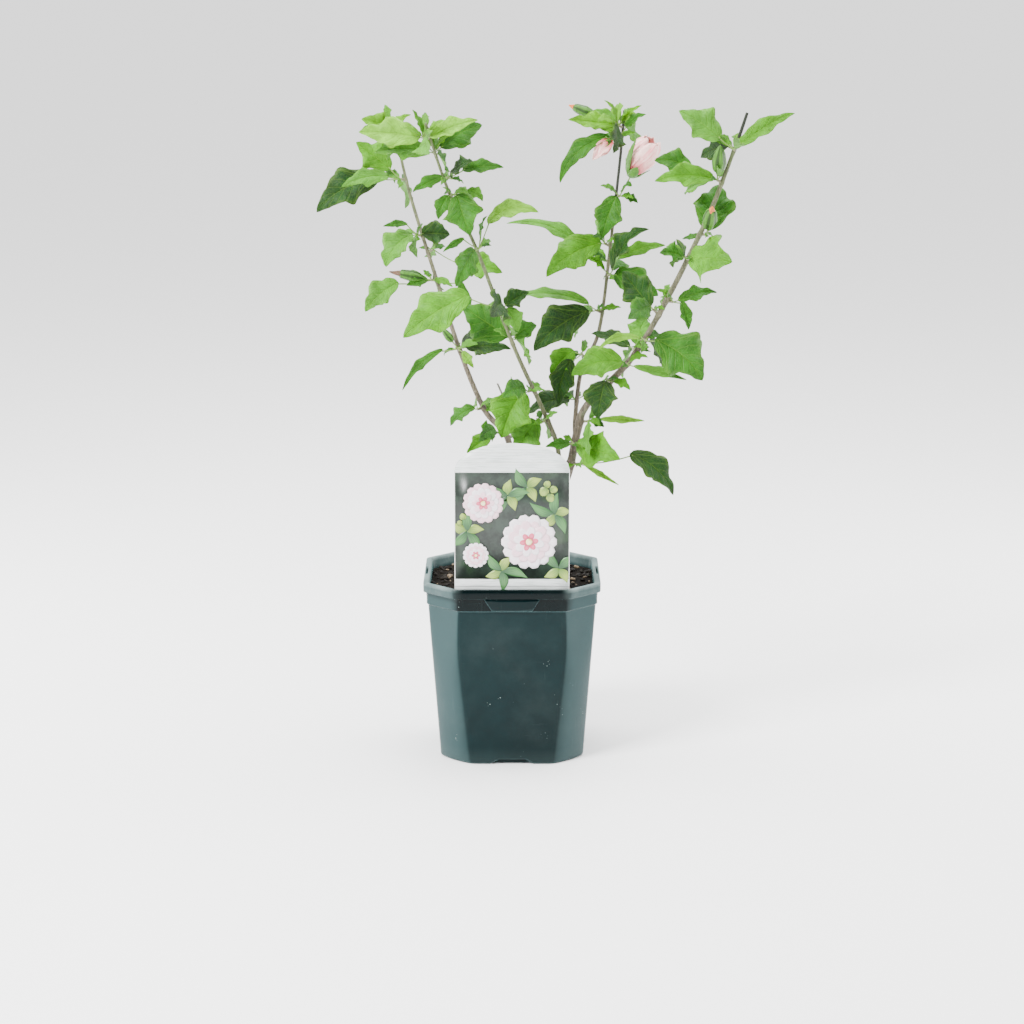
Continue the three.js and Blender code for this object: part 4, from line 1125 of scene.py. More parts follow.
# Buds and bloom

BUD_PROFILE = ((0, 0.12, 0.35, 0.7, 1), (0.3, 0.8, 1, 0.75, 0.14))
BLOOM_PROFILE = ((0, 0.1, 0.3, 0.62, 0.85, 1), (0.2, 0.5, 0.74, 1, 0.9, 0.56))
BUD_SLIM = 0.24
BLOOM_SLIM = 0.33
BRACT_HALF_THICK = 0.25
BRACT_BROAD = 1.5
# A bud with a coloured tip: where its green part stops, where the tip starts, and its swell.
TIPPED = dict(withered=(0.7, 0.5, 0.45), coral=(0.84, 0.55, 0.68), pink=(0.84, 0.55, 0.68))
# The fading bloom's hanging petals: turn from the stalk, face and share of the length, and the
# shape that they share.
HANGING = ((4, 75, 1.05), (16, 40, 0.85))
HANGING_SHAPE = dict(broad=0.55, lobe=0.1, droop=32)
HANGING_SEED = 77
PETAL_SHAPE = dict(
    spread=1.05, taper=0.1, rows=20, columns=15, swirl=0.9, lap=0.11, ruffle=0.9, round=0.2,
    thick=0.5,
)
SEPAL_SHAPE = dict(
    spread=0.66, taper=0.94, rows=10, columns=7, part=0.36, thick=0.9, flare=1.2,
)


def flower_stalk(given, tip):
    """The stalk of a bud or bloom, from the spur's tip into the calyx."""
    t = np.linspace(0, 1, 8)[:, None]
    way = way_of(given["turn"], given["rise"])
    path = tip + way * (given["stalk"] + 0.1 * given["long"]) * t
    return tube(path, STALK_THICK / 2 * (0.9 + 0.5 * t[:, 0] ** 6), sides=6)


def frame_about(way):
    """Two directions square to an axis and to each other."""
    first = unit(np.cross(way, [0.0, 0.0, 1.0] if abs(way[2]) < 0.9 else [1.0, 0.0, 0.0]))
    return first, np.cross(way, first)


def wrapped(foot, way, radius, long, middle, spread, taper, rows, columns, thick, **shape):
    """A petal or sepal wrapped about an axis.

    The first share runs along the axis and the second across the petal, which is spread radians
    wide each way and narrows by taper; the radius follows the share of the bloom's profile that
    part gives. ruffle waves the free edge, flare opens it, swirl turns it about the axis, lap lifts
    one margin over the next petal, and round draws its corners down.
    """
    u = np.linspace(0, 1, rows)[:, None]
    w = np.linspace(-1, 1, columns)[None]
    narrowing = 1 - taper * u ** 2
    angle = middle + w * spread * narrowing + shape.get("swirl", 0) * u
    reach = np.interp(u * shape.get("part", 1), *BLOOM_PROFILE) * radius
    reach = reach * (1 + shape.get("lap", 0) * w)
    wave = shape.get("ruffle", 0) * u ** 3 * np.sin(3.4 * np.pi * w + middle)
    reach = reach + wave + shape.get("flare", 0) * u ** 6
    height = long * u * (1 - shape.get("round", 0) * w ** 2) + 0.6 * wave
    first, second = frame_about(way)
    out = first * np.cos(angle)[..., None] + second * np.sin(angle)[..., None]
    outer = foot + way * height[..., None] + out * reach[..., None]
    depth = thick * (1 - 0.6 * u) * np.ones_like(w)
    return shell(outer, outer - out * depth[..., None], sheet_uv(w, u))


def sliver(foot, way, side, long, broad, lean):
    """A narrow pointed bract: an arc that leans out from the axis, broadest below its middle."""
    u = np.linspace(0, 1, 7)[:, None]
    w = np.linspace(-1, 1, 3)[None]
    angle = lean * (1 - 0.5 * u)
    across = np.cross(way, side)
    half = broad / 2 * np.sin(np.pi * np.clip(0.12 + 0.86 * u, 0, 1)) ** 0.8
    up, aside = (long * u * np.cos(angle))[..., None], (long * u * np.sin(angle))[..., None]
    points = foot + way * up + side * aside + across * (w * half)[..., None]
    out = side * np.cos(angle)[..., None] - way * np.sin(angle)[..., None]
    return shell(points + out * BRACT_HALF_THICK, points - out * BRACT_HALF_THICK, sheet_uv(w, u))


def bracts(pile, foot, way, long, number, count=7, lean=0.7, reach=1.6):
    """A ring of slender bracts below a calyx."""
    first, second = frame_about(way)
    for k in range(count):
        angle = 2 * np.pi * k / count
        side = first * math.cos(angle) + second * math.sin(angle)
        leaning = lean + 0.15 * math.sin(5 * k)
        pile.add(sliver(foot + side * reach, way, side, long, BRACT_BROAD, leaning), number)


def bud_body(given, tip, low, high, swell=1.0, ridges=5, twist=0.0, depth=0.09):
    """A stretch of a bud from one share of its length to another, ridged, and twisted if furled."""
    way = way_of(given["turn"], given["rise"])
    foot = tip + way * given["stalk"]
    u = np.linspace(low, high, 15)
    angle = 2 * np.pi * np.arange(20) / 20
    ridge = 1 + depth * np.cos(ridges * (angle[None] + twist * u[:, None]))
    radii = (np.interp(u, *BUD_PROFILE) * BUD_SLIM * given["long"] * swell)[:, None] * ridge
    ends = np.where((u == low) | (u == high), 0.55, 1.0)
    return tube(foot + way * (u * given["long"])[:, None], radii * ends[:, None], sides=20)


CALYX, PETAL, BROWN, CORAL, VALLEY_SHADED = range(5)


def bud_material(settings):
    """A bud's green skin with a stripe of painted shade in each of the five valleys between its
    ridges.
    """
    def wire(net):
        around = net.split(net.uv())[0]
        wave = net.math("COSINE", net.times(around, 10 * math.pi))
        bark = net.group(bark_relief(), {"Scale": 500.0})
        base = net.mix(bark["Furrows"], colour(settings.calyx), shade(settings.calyx, 1.5))
        # Painted shade: the valleys between the bud's ridges are darkened to a fifth of the calyx
        # tone.
        base = net.mix(net.step(wave, -0.8, 0.2, 0.85, 0.0), base, shade(settings.calyx, 0.2))
        return {"Base Color": base, "Height": bark["Height"], "Strength": 0.35, "Distance": 0.0004}
    return material("striped bud", {"Roughness": 0.55, "Specular IOR Level": 0.3}, wire)


def petal_material(name, tone, heart, vein=(0.8, 0.14, 0.2)):
    """A petal's skin: soft patches, fine pink veins and a deeper foot."""
    def wire(net):
        veins = net.group(petal_veins(), {"Heart": 1.1})
        tones = mottled(net, colour(tone), shade(tone, 0.86), 90.0)
        base = net.mix(net.times(veins["Lines"], 0.75), tones["Color"], colour(vein))
        base = net.mix(veins["Heart"], base, colour(heart))
        return {"Base Color": base, "Height": veins["Lines"], "Strength": 0.3, "Distance": 0.0005}
    constants = {"Roughness": 0.5, "Sheen Weight": 0.15, "Specular IOR Level": 0.35}
    return material(name, constants, wire)


class PlainBlade:
    """The settings of a blade with no teeth, for the fading bloom's petals."""
    teeth, tooth, spread, pillow, thick = 1, 0.0, 1.0, 0.05, 0.0005


class SHRUB_OT_flowers(Operator):
    """Adds the buds, the half-open bloom and the fading petal"""
    bl_idname = "shrub.flowers"
    bl_label = "Grow buds and bloom"

    def execute(self, context):
        settings = context.scene.shrub_bloom
        pile = Pile()
        for spray in grow_sprays(lay_limbs()):
            if "bud" in spray:
                self.add_bud(pile, spray["bud"], spray["tip"])
            if "bloom" in spray:
                self.add_bloom(pile, spray["bloom"], spray["tip"])
        skins = [
            plain_bark("calyx skin", settings.calyx, shade(settings.calyx, 1.5), 0.35),
            petal_material("petal", settings.petal, settings.heart),
            plain_bark("withered petal", settings.brown, shade(settings.brown, 2.2), 0.8),
            petal_material("coral petal", settings.coral, settings.heart, vein=(0.6, 0.1, 0.01)),
            bud_material(settings),
        ]
        pile.build("buds_and_bloom", skins, "foliage")
        return {"FINISHED"}

    def add_bud(self, pile, given, tip):
        """A bud by its look, closed and green, with a twisted tip, or fading with petals that hang
        like plain leaves, above a ring of bracts."""
        look = given["look"]
        way = way_of(given["turn"], given["rise"])
        foot = tip + way * given["stalk"]
        if look == "petal":
            pile.add(bud_body(given, tip, 0.0, 0.2, 0.7), CALYX)
            for turn, face, long in HANGING:
                petal = dict(
                    given, **HANGING_SHAPE, turn=given["turn"] + turn, dip=given["rise"] - 8,
                    face=face, long=given["long"] * long,
                )
                petal = finish_leaf(petal, seeded_numbers(HANGING_SEED + turn))
                pile.add(leaf_body(seat_leaf(petal, tip), PlainBlade, YOUNG_ROWS), PETAL)
        elif look == "green":
            pile.add(bud_body(given, tip, 0.0, 1.0, 1.0), VALLEY_SHADED)
        else:
            low, start, swell = TIPPED[look]
            skin = BROWN if look == "withered" else CORAL
            pile.add(bud_body(given, tip, 0.0, low, swell + 0.2, depth=0.1), VALLEY_SHADED)
            pile.add(bud_body(given, tip, start, 1.0, swell, 3, 5.0, 0.16), skin)
        bracts(pile, foot - way * 0.5, way, 0.42 * given["long"], CALYX)

    def add_bloom(self, pile, given, tip):
        """Five petals furled about the axis, five sepals about their feet, a ring of bracts and one
        long bract that leans to the left."""
        way = way_of(given["turn"], given["rise"])
        foot = tip + way * given["stalk"]
        radius = BLOOM_SLIM * given["long"]
        for k in range(5):
            turn = 2 * math.pi * k / 5
            petal = wrapped(
                foot + way * 3, way, radius * (0.97 - 0.03 * k), given["long"] - 4, turn,
                flare=2.2 - k, **PETAL_SHAPE,
            )
            sepal = wrapped(
                foot, way, radius * 1.1, 0.36 * given["long"], turn + 0.5, **SEPAL_SHAPE,
            )
            pile.add(petal, PETAL)
            pile.add(sepal, CALYX)
        bracts(pile, foot, way, 0.3 * given["long"], CALYX, reach=2.6)
        left = np.array([-0.8, -0.6, 0.0])
        side = unit(left - way * (left @ way))
        pile.add(sliver(foot + side * 3, way, side, 0.95 * given["long"], 7, 0.75), CALYX)


# Bark

# How young each limb's wood is at its foot and at its end.
YOUTH = dict(
    trunk=(0.0, 0.1), stem_d=(0.05, 0.9), stem_a=(0.05, 0.85), stem_b=(0.55, 1.0),
    stem_c=(0.3, 0.9), dead_stub=(0.0, 0.0),
)
# A limb's mesh: measured places a span, rings at least and their spacing in mm, and places a ring.
RINGS = dict(measured=40, least=12, apart=1.6, sides=18)
# Swellings, with lengths in mm: the trunk's foot, a branch's foot with its reach and its depth in
# the parent's bark, and the reach of a knot and how far it lies below its spray.
TRUNK_FLARE = 0.35
BRANCH_FOOT = dict(swell=0.28, reach=4, sunk=1.4)
KNOT = dict(reach=2.4, below=1)
BARK_SEED = dict(first=300, step=11, warts=5)
DEAD_WOOD = (0.2, 0.185, 0.16)
WART_TONE = (0.33, 0.3, 0.24, 1.0)
MOSS_TONE = (0.2, 0.24, 0.13, 1.0)
# The darkest bark, and the stems that turn to it: their bark's name and the height in metres.
SHADED_BARK = (0.007, 0.01, 0.005, 1.0)
SHADED = dict(stem_c=("bark of the dark stem", 0.51), stem_d=("bark of the right stem", 0.572))


def limb_body(name, limb, sprays, settings):
    """A limb: the source's tapering course in fine rings, its radius furrowed along the bark,
    swollen where a spray stands on it and flared where it leaves its parent."""
    spans = len(limb["places"]) - 1
    measured = np.linspace(0, spans, RINGS["measured"] * spans)
    steps = np.linalg.norm(np.diff(course_points(limb["places"], measured), axis=0), axis=1)
    arc = np.concatenate([[0], np.cumsum(steps)])
    length = np.linspace(0, arc[-1], max(RINGS["least"], int(arc[-1] / RINGS["apart"])))
    along = np.interp(length, arc, measured)
    path = course_points(limb["places"], along)
    radii = (limb["thick"][0] + (limb["thick"][1] - limb["thick"][0]) * along / spans) / 2
    if name == "trunk":
        radii = radii * (1 + TRUNK_FLARE * np.maximum(0, 1 - along) ** 2)
    if "grows" in limb:
        path[0] = path[0] - limb["first_axis"] * BRANCH_FOOT["sunk"]
        radii = radii * (1 + BRANCH_FOOT["swell"] * np.exp(-length / BRANCH_FOOT["reach"]))
    for spray in sprays:
        if spray["on"] == name:
            place = np.interp(limb_at(limb, spray["at"])[3], along, length) - KNOT["below"]
            radii = radii * (1 + settings.knot * np.exp(-((length - place) / KNOT["reach"]) ** 2))
    sides = RINGS["sides"]
    angle = 2 * np.pi * np.arange(sides)[None] / sides
    cos, sin, run = np.cos(angle), np.sin(angle), length[:, None]
    seed = BARK_SEED["first"] + BARK_SEED["step"] * list(LIMBS).index(name)
    furrows = ripple(seed, cos * 2, sin * 2, run / 14)
    warts = ripple(seed + BARK_SEED["warts"], cos * 3.5, sin * 3.5, run / 4)
    radii = radii[:, None] * (1 + settings.relief * (1.4 * furrows + 0.8 * warts))
    return tube(path, radii, sides, limb["first_axis"], YOUTH[name])


def bark_material(name, settings, dead=False, dark_from=1.0):
    """Grey-brown bark that turns to green wood by the share that each place carries, and darkens
    over the 30 mm above a height."""
    def wire(net):
        bark = net.group(bark_relief(), {"Scale": 380.0})
        old = DEAD_WOOD if dead else settings.old
        tone = net.mix(bark["Furrows"], shade(old, 0.62), shade(old, 1.45))
        green = net.mix(bark["Furrows"], shade(settings.young, 0.8), shade(settings.young, 1.15))
        youth = net.split(net.uv())[1]
        patches = net.noise(net.place((1, 1, 0.4)), 90.0, 3.0)
        blend = net.plus(youth, net.times(net.minus(patches, 0.5), 0.5))
        base = net.mix(net.step(blend, 0.35, 0.95, 0.0, 0.0 if dead else 0.9), tone, green)
        base = net.mix(net.times(bark["Warts"], 0.35), base, WART_TONE)
        moss = net.step(net.noise(net.place(), 60.0, 3.0), 0.6, 0.75, 0.0, 0.35)
        base = net.mix(moss, base, MOSS_TONE)
        height = net.split(net.place())[2]
        shaded = net.step(height, dark_from, dark_from + 0.03, 0.0, 0.96)
        base = net.mix(shaded, base, SHADED_BARK)
        return {"Base Color": base, "Height": bark["Height"], "Strength": 0.7, "Distance": 0.0008}
    return material(name, {"Roughness": 0.82}, wire)


class SHRUB_OT_bark(Operator):
    """Replaces the trunk and stems with limbs that show the bark's relief"""
    bl_idname = "shrub.bark"
    bl_label = "Cut the bark"

    def execute(self, context):
        settings = context.scene.shrub_bark
        limbs = lay_limbs()
        sprays = grow_sprays(limbs)
        plain = bark_material("bark", settings)
        skins = {"dead_stub": bark_material("dead bark", settings, dead=True)}
        for name, (label, height) in SHADED.items():
            skins[name] = bark_material(label, settings, dark_from=height)
        for name, limb in limbs.items():
            pile = Pile()
            pile.add(limb_body(name, limb, sprays, settings))
            pile.build(f"bark_{name}", [skins.get(name, plain)], "bark", name)
        return {"FINISHED"}


# Potting mix

# The mix's height in mm at shares of the way from the middle to the wall.
MIX_REACH = 78
MIX_PROFILE = ((0, 0.35, 0.7, 1), (167, 167, 166.4, 165))
# Chips, in mm: the half side of their square field, the cut of its corners, where the trunk stands
# and its clearance, the strip left free for the card, and a chip's least half length and what is
# added to it. over is the share of its size that a chip's middle lies over the mix.
CHIP = dict(
    seed=901, field=77, corner=122, trunk=(15, 8), clear=9, front=-71, pale_every=9,
    least=1.1, more=3.2, over=0.25,
)
CHIP_RINGS = ((-1, -0.45, 0.4, 1), (0.2, 0.55, 0.5, 0.15))


def mix_height(x, y):
    """Height of the potting mix: level in the middle and sinking a little towards the wall."""
    return np.interp(np.maximum(np.abs(x), np.abs(y)) / MIX_REACH, *MIX_PROFILE)


def chip_body(numbers):
    """A crumb of bark: a short tube of six-sided rings of uneven radii, laid on the mix."""
    field = (-CHIP["field"], CHIP["field"])
    x, y = within(field, numbers), within(field, numbers)
    size = CHIP["least"] + CHIP["more"] * next(numbers) ** 2
    turn, tilt = within((0, 360), numbers), within((-25, 25), numbers)
    uneven = np.array([next(numbers) for _ in range(24)]).reshape(4, 6)
    by_trunk = math.dist((x, y), CHIP["trunk"]) < CHIP["clear"]
    if abs(x) + abs(y) > CHIP["corner"] or by_trunk or y < CHIP["front"]:
        return None
    along, rings = np.array(CHIP_RINGS)[:, :, None]
    middle = np.array([x, y, float(mix_height(x, y)) + CHIP["over"] * size])
    path = middle + way_of(turn, tilt) * (along * size)
    return tube(path, size * rings * (0.6 + 0.8 * uneven), sides=6)


class SHRUB_OT_mix(Operator):
    """Finishes the potting mix and strews loose chips on it"""
    bl_idname = "shrub.mix"
    bl_label = "Strew the potting mix"

    def execute(self, context):
        settings = context.scene.shrub_mix

        def wire(net):
            tones = mottled(net, shade(settings.dark, 4.0), colour(settings.dark), 160.0)
            flecks = net.group(specks(), {"Scale": 330.0, "Rarity": 0.5})["Mask"]
            base = net.mix(net.times(flecks, 0.7), tones["Color"], colour(settings.pale))
            lumps = net.noise(net.place(), 260.0, 5.0, 0.7)
            return {"Base Color": base, "Height": lumps, "Strength": 1.0, "Distance": 0.003}

        moist = material("moist mix", {"Roughness": 0.95, "Specular IOR Level": 0.1}, wire)
        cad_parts["potting_mix"].data.materials[0] = moist
        numbers = seeded_numbers(CHIP["seed"])
        pile = Pile()
        for k in range(settings.chips):
            chip = chip_body(numbers)
            if chip:
                pile.add(chip, 0 if k % CHIP["pale_every"] else 1)
        skins = [
            plain_bark("dark chip", shade(settings.dark, 0.7), shade(settings.dark, 5), 0.9, 0.12),
            plain_bark("pale chip", shade(settings.pale, 0.5), settings.pale, 0.9),
        ]
        pile.build("bark_chips", skins, "potting_mix")
        return {"FINISHED"}


# Card

PRINT_MARGIN = 0.6
INK_THICK = 0.05
# Heights in mm of the printed layers over the card's face, and steps between shapes of one layer.
LIFT = dict(field=0.06, planks=0.07, sprig=0.14, bud=0.56, blossom=0.78, heart=1.36)
LIFT_STEP = dict(leaf=0.07, tier=0.14, shape=0.06)


def on_card(x, z, lift, uv=None):
    """A flat printed shape on the card's front, from grids of its places in the card's plane. It is
    kept a little inside the picture's edges."""
    x, z = np.broadcast_arrays(np.asarray(x, float), np.asarray(z, float))
    edge = CARD["half"] - PRINT_MARGIN
    front = np.stack([np.clip(x, -edge, edge), np.full(x.shape, CARD["front"] - lift), z], -1)
    return shell(front, front + np.array([0, INK_THICK, 0]), uv)


def card_half(z):
    """Half the card's width at a height: straight, then an arc above the shoulder."""
    rise = np.clip((z - CARD["shoulder"]) / (CARD["top"] - CARD["shoulder"]), 0, 1)
    return CARD["half"] * np.sqrt(1 - rise ** 2)


def band(low, high, lift, rows=17, columns=9):
    """A stretch of the card's full width between two heights, its rows closer towards the top."""
    z = low + (high - low) * np.sin(np.linspace(0, np.pi / 2, rows))[:, None]
    return on_card(np.linspace(-1, 1, columns)[None] * (card_half(z) - PRINT_MARGIN), z, lift)


def turned_on_card(x, z, turn, along, side, lift, uv):
    """A printed shape given by its lengthwise and sideways places, turned about a point."""
    cos, sin = math.cos(turn), math.sin(turn)
    return on_card(x + along * cos - side * sin, z + along * sin + side * cos, lift, uv)


def printed_petal(x, z, turn, inner, outer, broad, lift):
    """A petal in the card's plane: a rounded lens that points away from the blossom's middle."""
    u = np.linspace(0, 1, 9)[:, None]
    w = np.linspace(1, -1, 5)[None]
    along = inner + (outer - inner) * u
    half = broad / 2 * np.sin(np.pi * (0.08 + 0.87 * u ** 1.3)) ** 0.6
    return turned_on_card(x, z, turn, along, w * half, lift, sheet_uv(w, u))


def printed_leaf(x, z, turn, long, broad, lift):
    """A leaf in the card's plane: a pointed lens with a bend in its middle line."""
    u = np.linspace(0, 1, 11)[:, None]
    w = np.linspace(1, -1, 5)[None]
    half = broad / 2 * np.sin(np.pi * u.clip(0.01, 0.99) ** 0.8) ** 1.1
    side = w * half + 0.1 * long * np.sin(np.pi * u)
    return turned_on_card(x, z, turn, long * u, side, lift, sheet_uv(w, u))


def add_pip(pile, x, z, turn, reach, broad, lift, number):
    """A round printed spot: three petals through one middle, a third of a circle apart."""
    for k in range(3):
        third = turn + 2 * math.pi * k / 3
        shape = printed_petal(x, z, third, -reach, reach, broad, lift + LIFT_STEP["shape"] * k)
        pile.add(shape, number)


# The picture in the card's plane: blossoms [x, z, radius] of tiers [petals, reach], sprigs
# [x, z, turn, leaves] and round green buds [x, z, radius]
BLOSSOMS = ((16, 220, 26), (-27, 257, 19), (-34, 207, 12))
TIERS = ((14, 1.0), (12, 0.78), (8, 0.56), (6, 0.34))
SPRIGS = (
    (-4, 264, 80, 5), (40, 246, 10, 5), (-42, 230, 150, 5), (-10, 192, 200, 5), (44, 194, 300, 4),
    (14, 272, 30, 4),
)
GREEN_BUDS = (
    (30, 268, 4.5), (36, 262, 4), (39, 270, 3.6), (33, 275, 3.4), (-46, 244, 3.2), (-49, 238, 2.6),
)
# The planks' lower and upper edges, two below the field and three above it.
PLANKS = ((CARD["foot"] + 0.2, 176), (176.5, 183.8), (286.3, 295), (295.5, 304.4), (304.9, 313.4))
# Each ink of a plain shape: its tone, the tone at the shape's root, how far that one reaches and
# the tone of its streaks.
INK_TONES = {
    "leaf": ((0.045, 0.16, 0.045), (0.02, 0.07, 0.025), 0.6, (0.08, 0.22, 0.06)),
    "young leaf": ((0.22, 0.33, 0.05), (0.09, 0.19, 0.03), 0.7, (0.32, 0.42, 0.08)),
    "white petal": ((0.9, 0.86, 0.87), (0.6, 0.02, 0.07), 0.42, (0.8, 0.66, 0.76)),
    "pink petal": ((0.88, 0.66, 0.71), (0.52, 0.015, 0.06), 0.5, (0.84, 0.5, 0.6)),
    "red heart": ((0.62, 0.05, 0.12), (0.3, 0.005, 0.02), 0.6, (0.75, 0.2, 0.3)),
    "cream": ((0.9, 0.8, 0.42), (0.75, 0.5, 0.12), 0.5, (0.95, 0.9, 0.6)),
}
INKS = ("board", "field", "planks", *INK_TONES)


class SHRUB_OT_card(Operator):
    """Finishes the card and lays its printed picture on it"""
    bl_idname = "shrub.card"
    bl_label = "Print the card"

    def execute(self, context):
        skins = self.skins(context.scene.shrub_card)
        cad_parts["plant_card"].data.materials[0] = skins[0]
        pile = Pile()
        ink = INKS.index
        pile.add(band(PRINT["footer"], PRINT["header"], LIFT["field"], rows=3), ink("field"))
        for low, high in PLANKS:
            pile.add(band(low, high, LIFT["planks"]), ink("planks"))
        for x, z, turn, count in SPRIGS:
            for k in range(count):
                angle = math.radians(turn + 360 * k / count)
                lift = LIFT["sprig"] + LIFT_STEP["leaf"] * k
                leaf = printed_leaf(x, z, angle, 16 + 5 * (k % 3), 9, lift)
                pile.add(leaf, ink("leaf") if k % 3 else ink("young leaf"))
        for place, (x, z, radius) in enumerate(GREEN_BUDS):
            add_pip(pile, x, z, place, radius, radius * 1.5, LIFT["bud"], ink("young leaf"))
        for place, (x, z, radius) in enumerate(BLOSSOMS):
            for tier, (count, reach) in enumerate(TIERS):
                petals = ("white petal", "pink petal")[(tier + place) % 2]
                name = petals if tier < len(TIERS) - 1 else "red heart"
                inner, outer, broad = 0.05 * radius, reach * radius, 0.58 * radius * reach
                for k in range(count):
                    turn = 2 * math.pi * (k + 0.37 * tier) / count + place
                    lift = LIFT["blossom"] + LIFT_STEP["tier"] * tier + LIFT_STEP["shape"] * (k % 2)
                    pile.add(printed_petal(x, z, turn, inner, outer, broad, lift), ink(name))
            heart = 0.12 * radius
            add_pip(pile, x, z, place, heart, 1.6 * heart, LIFT["heart"], ink("cream"))
        pile.build("card_print", skins, "card")
        return {"FINISHED"}

    def skins(self, settings):
        """The inks' materials: the bare card, the field, the planks and the plain inks."""
        def board(net):
            tones = mottled(net, colour(settings.board), shade(settings.board, 0.92), 25.0)
            rubbed = net.group(scuffs(), {"Scale": 300.0, "Amount": 0.3})["Mask"]
            return {"Base Color": net.mix(rubbed, tones["Color"], (0.5, 0.5, 0.48, 1.0))}

        def field(net):
            tones = mottled(net, shade(settings.field, 2.2), shade(settings.field, 0.6), 55.0)
            glow = net.step(net.noise(net.place(), 42.0, 1.0), 0.55, 0.75, 0.0, 0.5)
            return {"Base Color": net.mix(glow, tones["Color"], (0.03, 0.075, 0.025, 1.0))}

        def planks(net):
            streaks = net.group(grain(), {"Scale": 700.0})["Mask"]
            base = net.mix(net.times(streaks, 0.6), colour(settings.planks), (0.34, 0.4, 0.37, 1.0))
            return {"Base Color": base, "Height": streaks, "Strength": 0.15, "Distance": 0.0002}

        def inked(tone, root, reach, other):
            """An ink that runs from one colour at a shape's root to another, streaked along it."""
            def wire(net):
                uv = net.uv()
                streaks = net.noise(net.stretch(uv, (9, 1.2, 1)), 1.0, 2.0)
                tones = net.mix(net.step(streaks, 0.35, 0.7), colour(tone), colour(other))
                along = net.plus(net.split(uv)[1], net.times(net.minus(streaks, 0.5), 0.5))
                near = net.step(along, 0.0, reach, 1.0, 0.0)
                return {"Base Color": net.mix(near, tones, colour(root))}
            return wire

        makers = (board, field, planks, *(inked(*tones) for tones in INK_TONES.values()))
        satin = {"Roughness": 0.36}
        return [material(f"card {name}", satin, wire) for name, wire in zip(INKS, makers)]


# Pot

# The source's sections: distances from the axis to the flats and the corners, and a circle
POT = dict(
    height=175, wall=2, floor=7, neck_at=153, rim_at=166, base=(69, 88, 79), neck=(80, 92, 97),
    collar=(81.5, 93.5, 99), rim=(84.5, 98.5, 110), crisp=120, columns=480,
)
NOTCH = dict(top=14, bottom=21, high=5, deep=5)
TAB = dict(top=27, bottom=19, thick=1.2)
RIM_SLOT = dict(half=15, deep=5, inner=3.4)
NOTCH_EASE = 1.2
TAB_EASE = 0.6
# Where the pot's tones change, over heights and over distances to the side in metres, and the
# shares before and after. band and painted_shade_front bound the painted shade that darkens the
# front above the neck.
POT_TONES = dict(
    rim=(0.164, 0.1685), foot=(0.0, 0.02, 0.05, 0.0), lip=(0.1712, 0.1742, 0.35, 1.0),
    beside=(0.045, 0.062, 0.0, 1.0), band=(0.1535, 0.1545), painted_shade_front=(0.05, 0.06, 0.85, 0.0),
)
# Painted reflection: a lighter base colour stands in for the reflections of the pale room and the
# lamps.
# The painted sheen of faces that turn away: a first rise at the cut corners and a second at the
# outline.
POT_PAINTED_SHEEN = ((0.12, 0.34, 0.0, 0.18), (0.7, 0.9, 0.0, 0.5))


def pot_radius(sizes, angle):
    """The wall's distance from the axis: a square with cut corners inside a circle. The three
    distances are blended by a high power mean, which rounds the edges between them."""
    flat, corner, circle = sizes
    quarter = np.pi / 2
    to_flat = np.cos((angle + quarter / 2) % quarter - quarter / 2)
    to_corner = np.cos(angle % quarter - quarter / 2)
    reach = np.stack([flat / to_flat, corner / to_corner, np.full_like(angle, circle)])
    return (reach ** -POT["crisp"]).sum(0) ** (-1 / POT["crisp"])


def pot_rings():
    """Rows of the pot's wall from its foot up the outside, over the rim and down the inside. Each
    is a height, the section's sizes, the inset from them and the share of the rim slot's depth."""
    def wall(z):
        return tuple(a + (b - a) * z / POT["neck_at"] for a, b in zip(POT["base"], POT["neck"]))

    rows = [(0, wall(0), 2, 0), (0.3, wall(0), 1.1, 0), (1, wall(1), 0.3, 0), (2, wall(2), 0, 0)]
    rows += [(z, wall(z), 0, 0) for z in (3, 4, 4.6, 5.2, 6)]
    rows += [(z, wall(z), 0, 0) for z in np.linspace(9, POT["neck_at"] - 0.6, 36)]
    top, rim, collar, height = POT["neck_at"], POT["rim"], POT["collar"], POT["height"]
    rows += [(top, POT["neck"], -0.1, 0), (top + 0.4, POT["neck"], -0.7, 0)]
    rows += [(top + 1, collar, 0, 0)]
    rows += [(z, collar, 0, 0) for z in (top + 1.4, top + 5, top + 9, top + 12)]
    rows += [(POT["rim_at"] - 0.2, collar, -0.3, 0), (POT["rim_at"], rim, 1, 0)]
    rows += [(POT["rim_at"] + 0.3, rim, 0.3, 0), (POT["rim_at"] + 1, rim, 0, 0)]
    rows += [(z, rim, 0, 0) for z in (height - 5, height - 1)] + [(height - 0.3, rim, 0.3, 0)]
    rows += [(height, rim, 1, 0), (height, rim, 1.05, 1), (height, rim, RIM_SLOT["inner"], 1)]
    rows += [(height, rim, RIM_SLOT["inner"] + 0.05, 0), (height, rim, 4.5, 0)]
    rows += [(height - 0.5, rim, 5.4, 0), (height - 1.5, rim, 6, 0)]
    rows += [(z, POT["neck"], POT["wall"], 0) for z in (top + 2, top)]
    return rows + [(z, wall(z), POT["wall"], 0) for z in (100, 50, POT["floor"])]


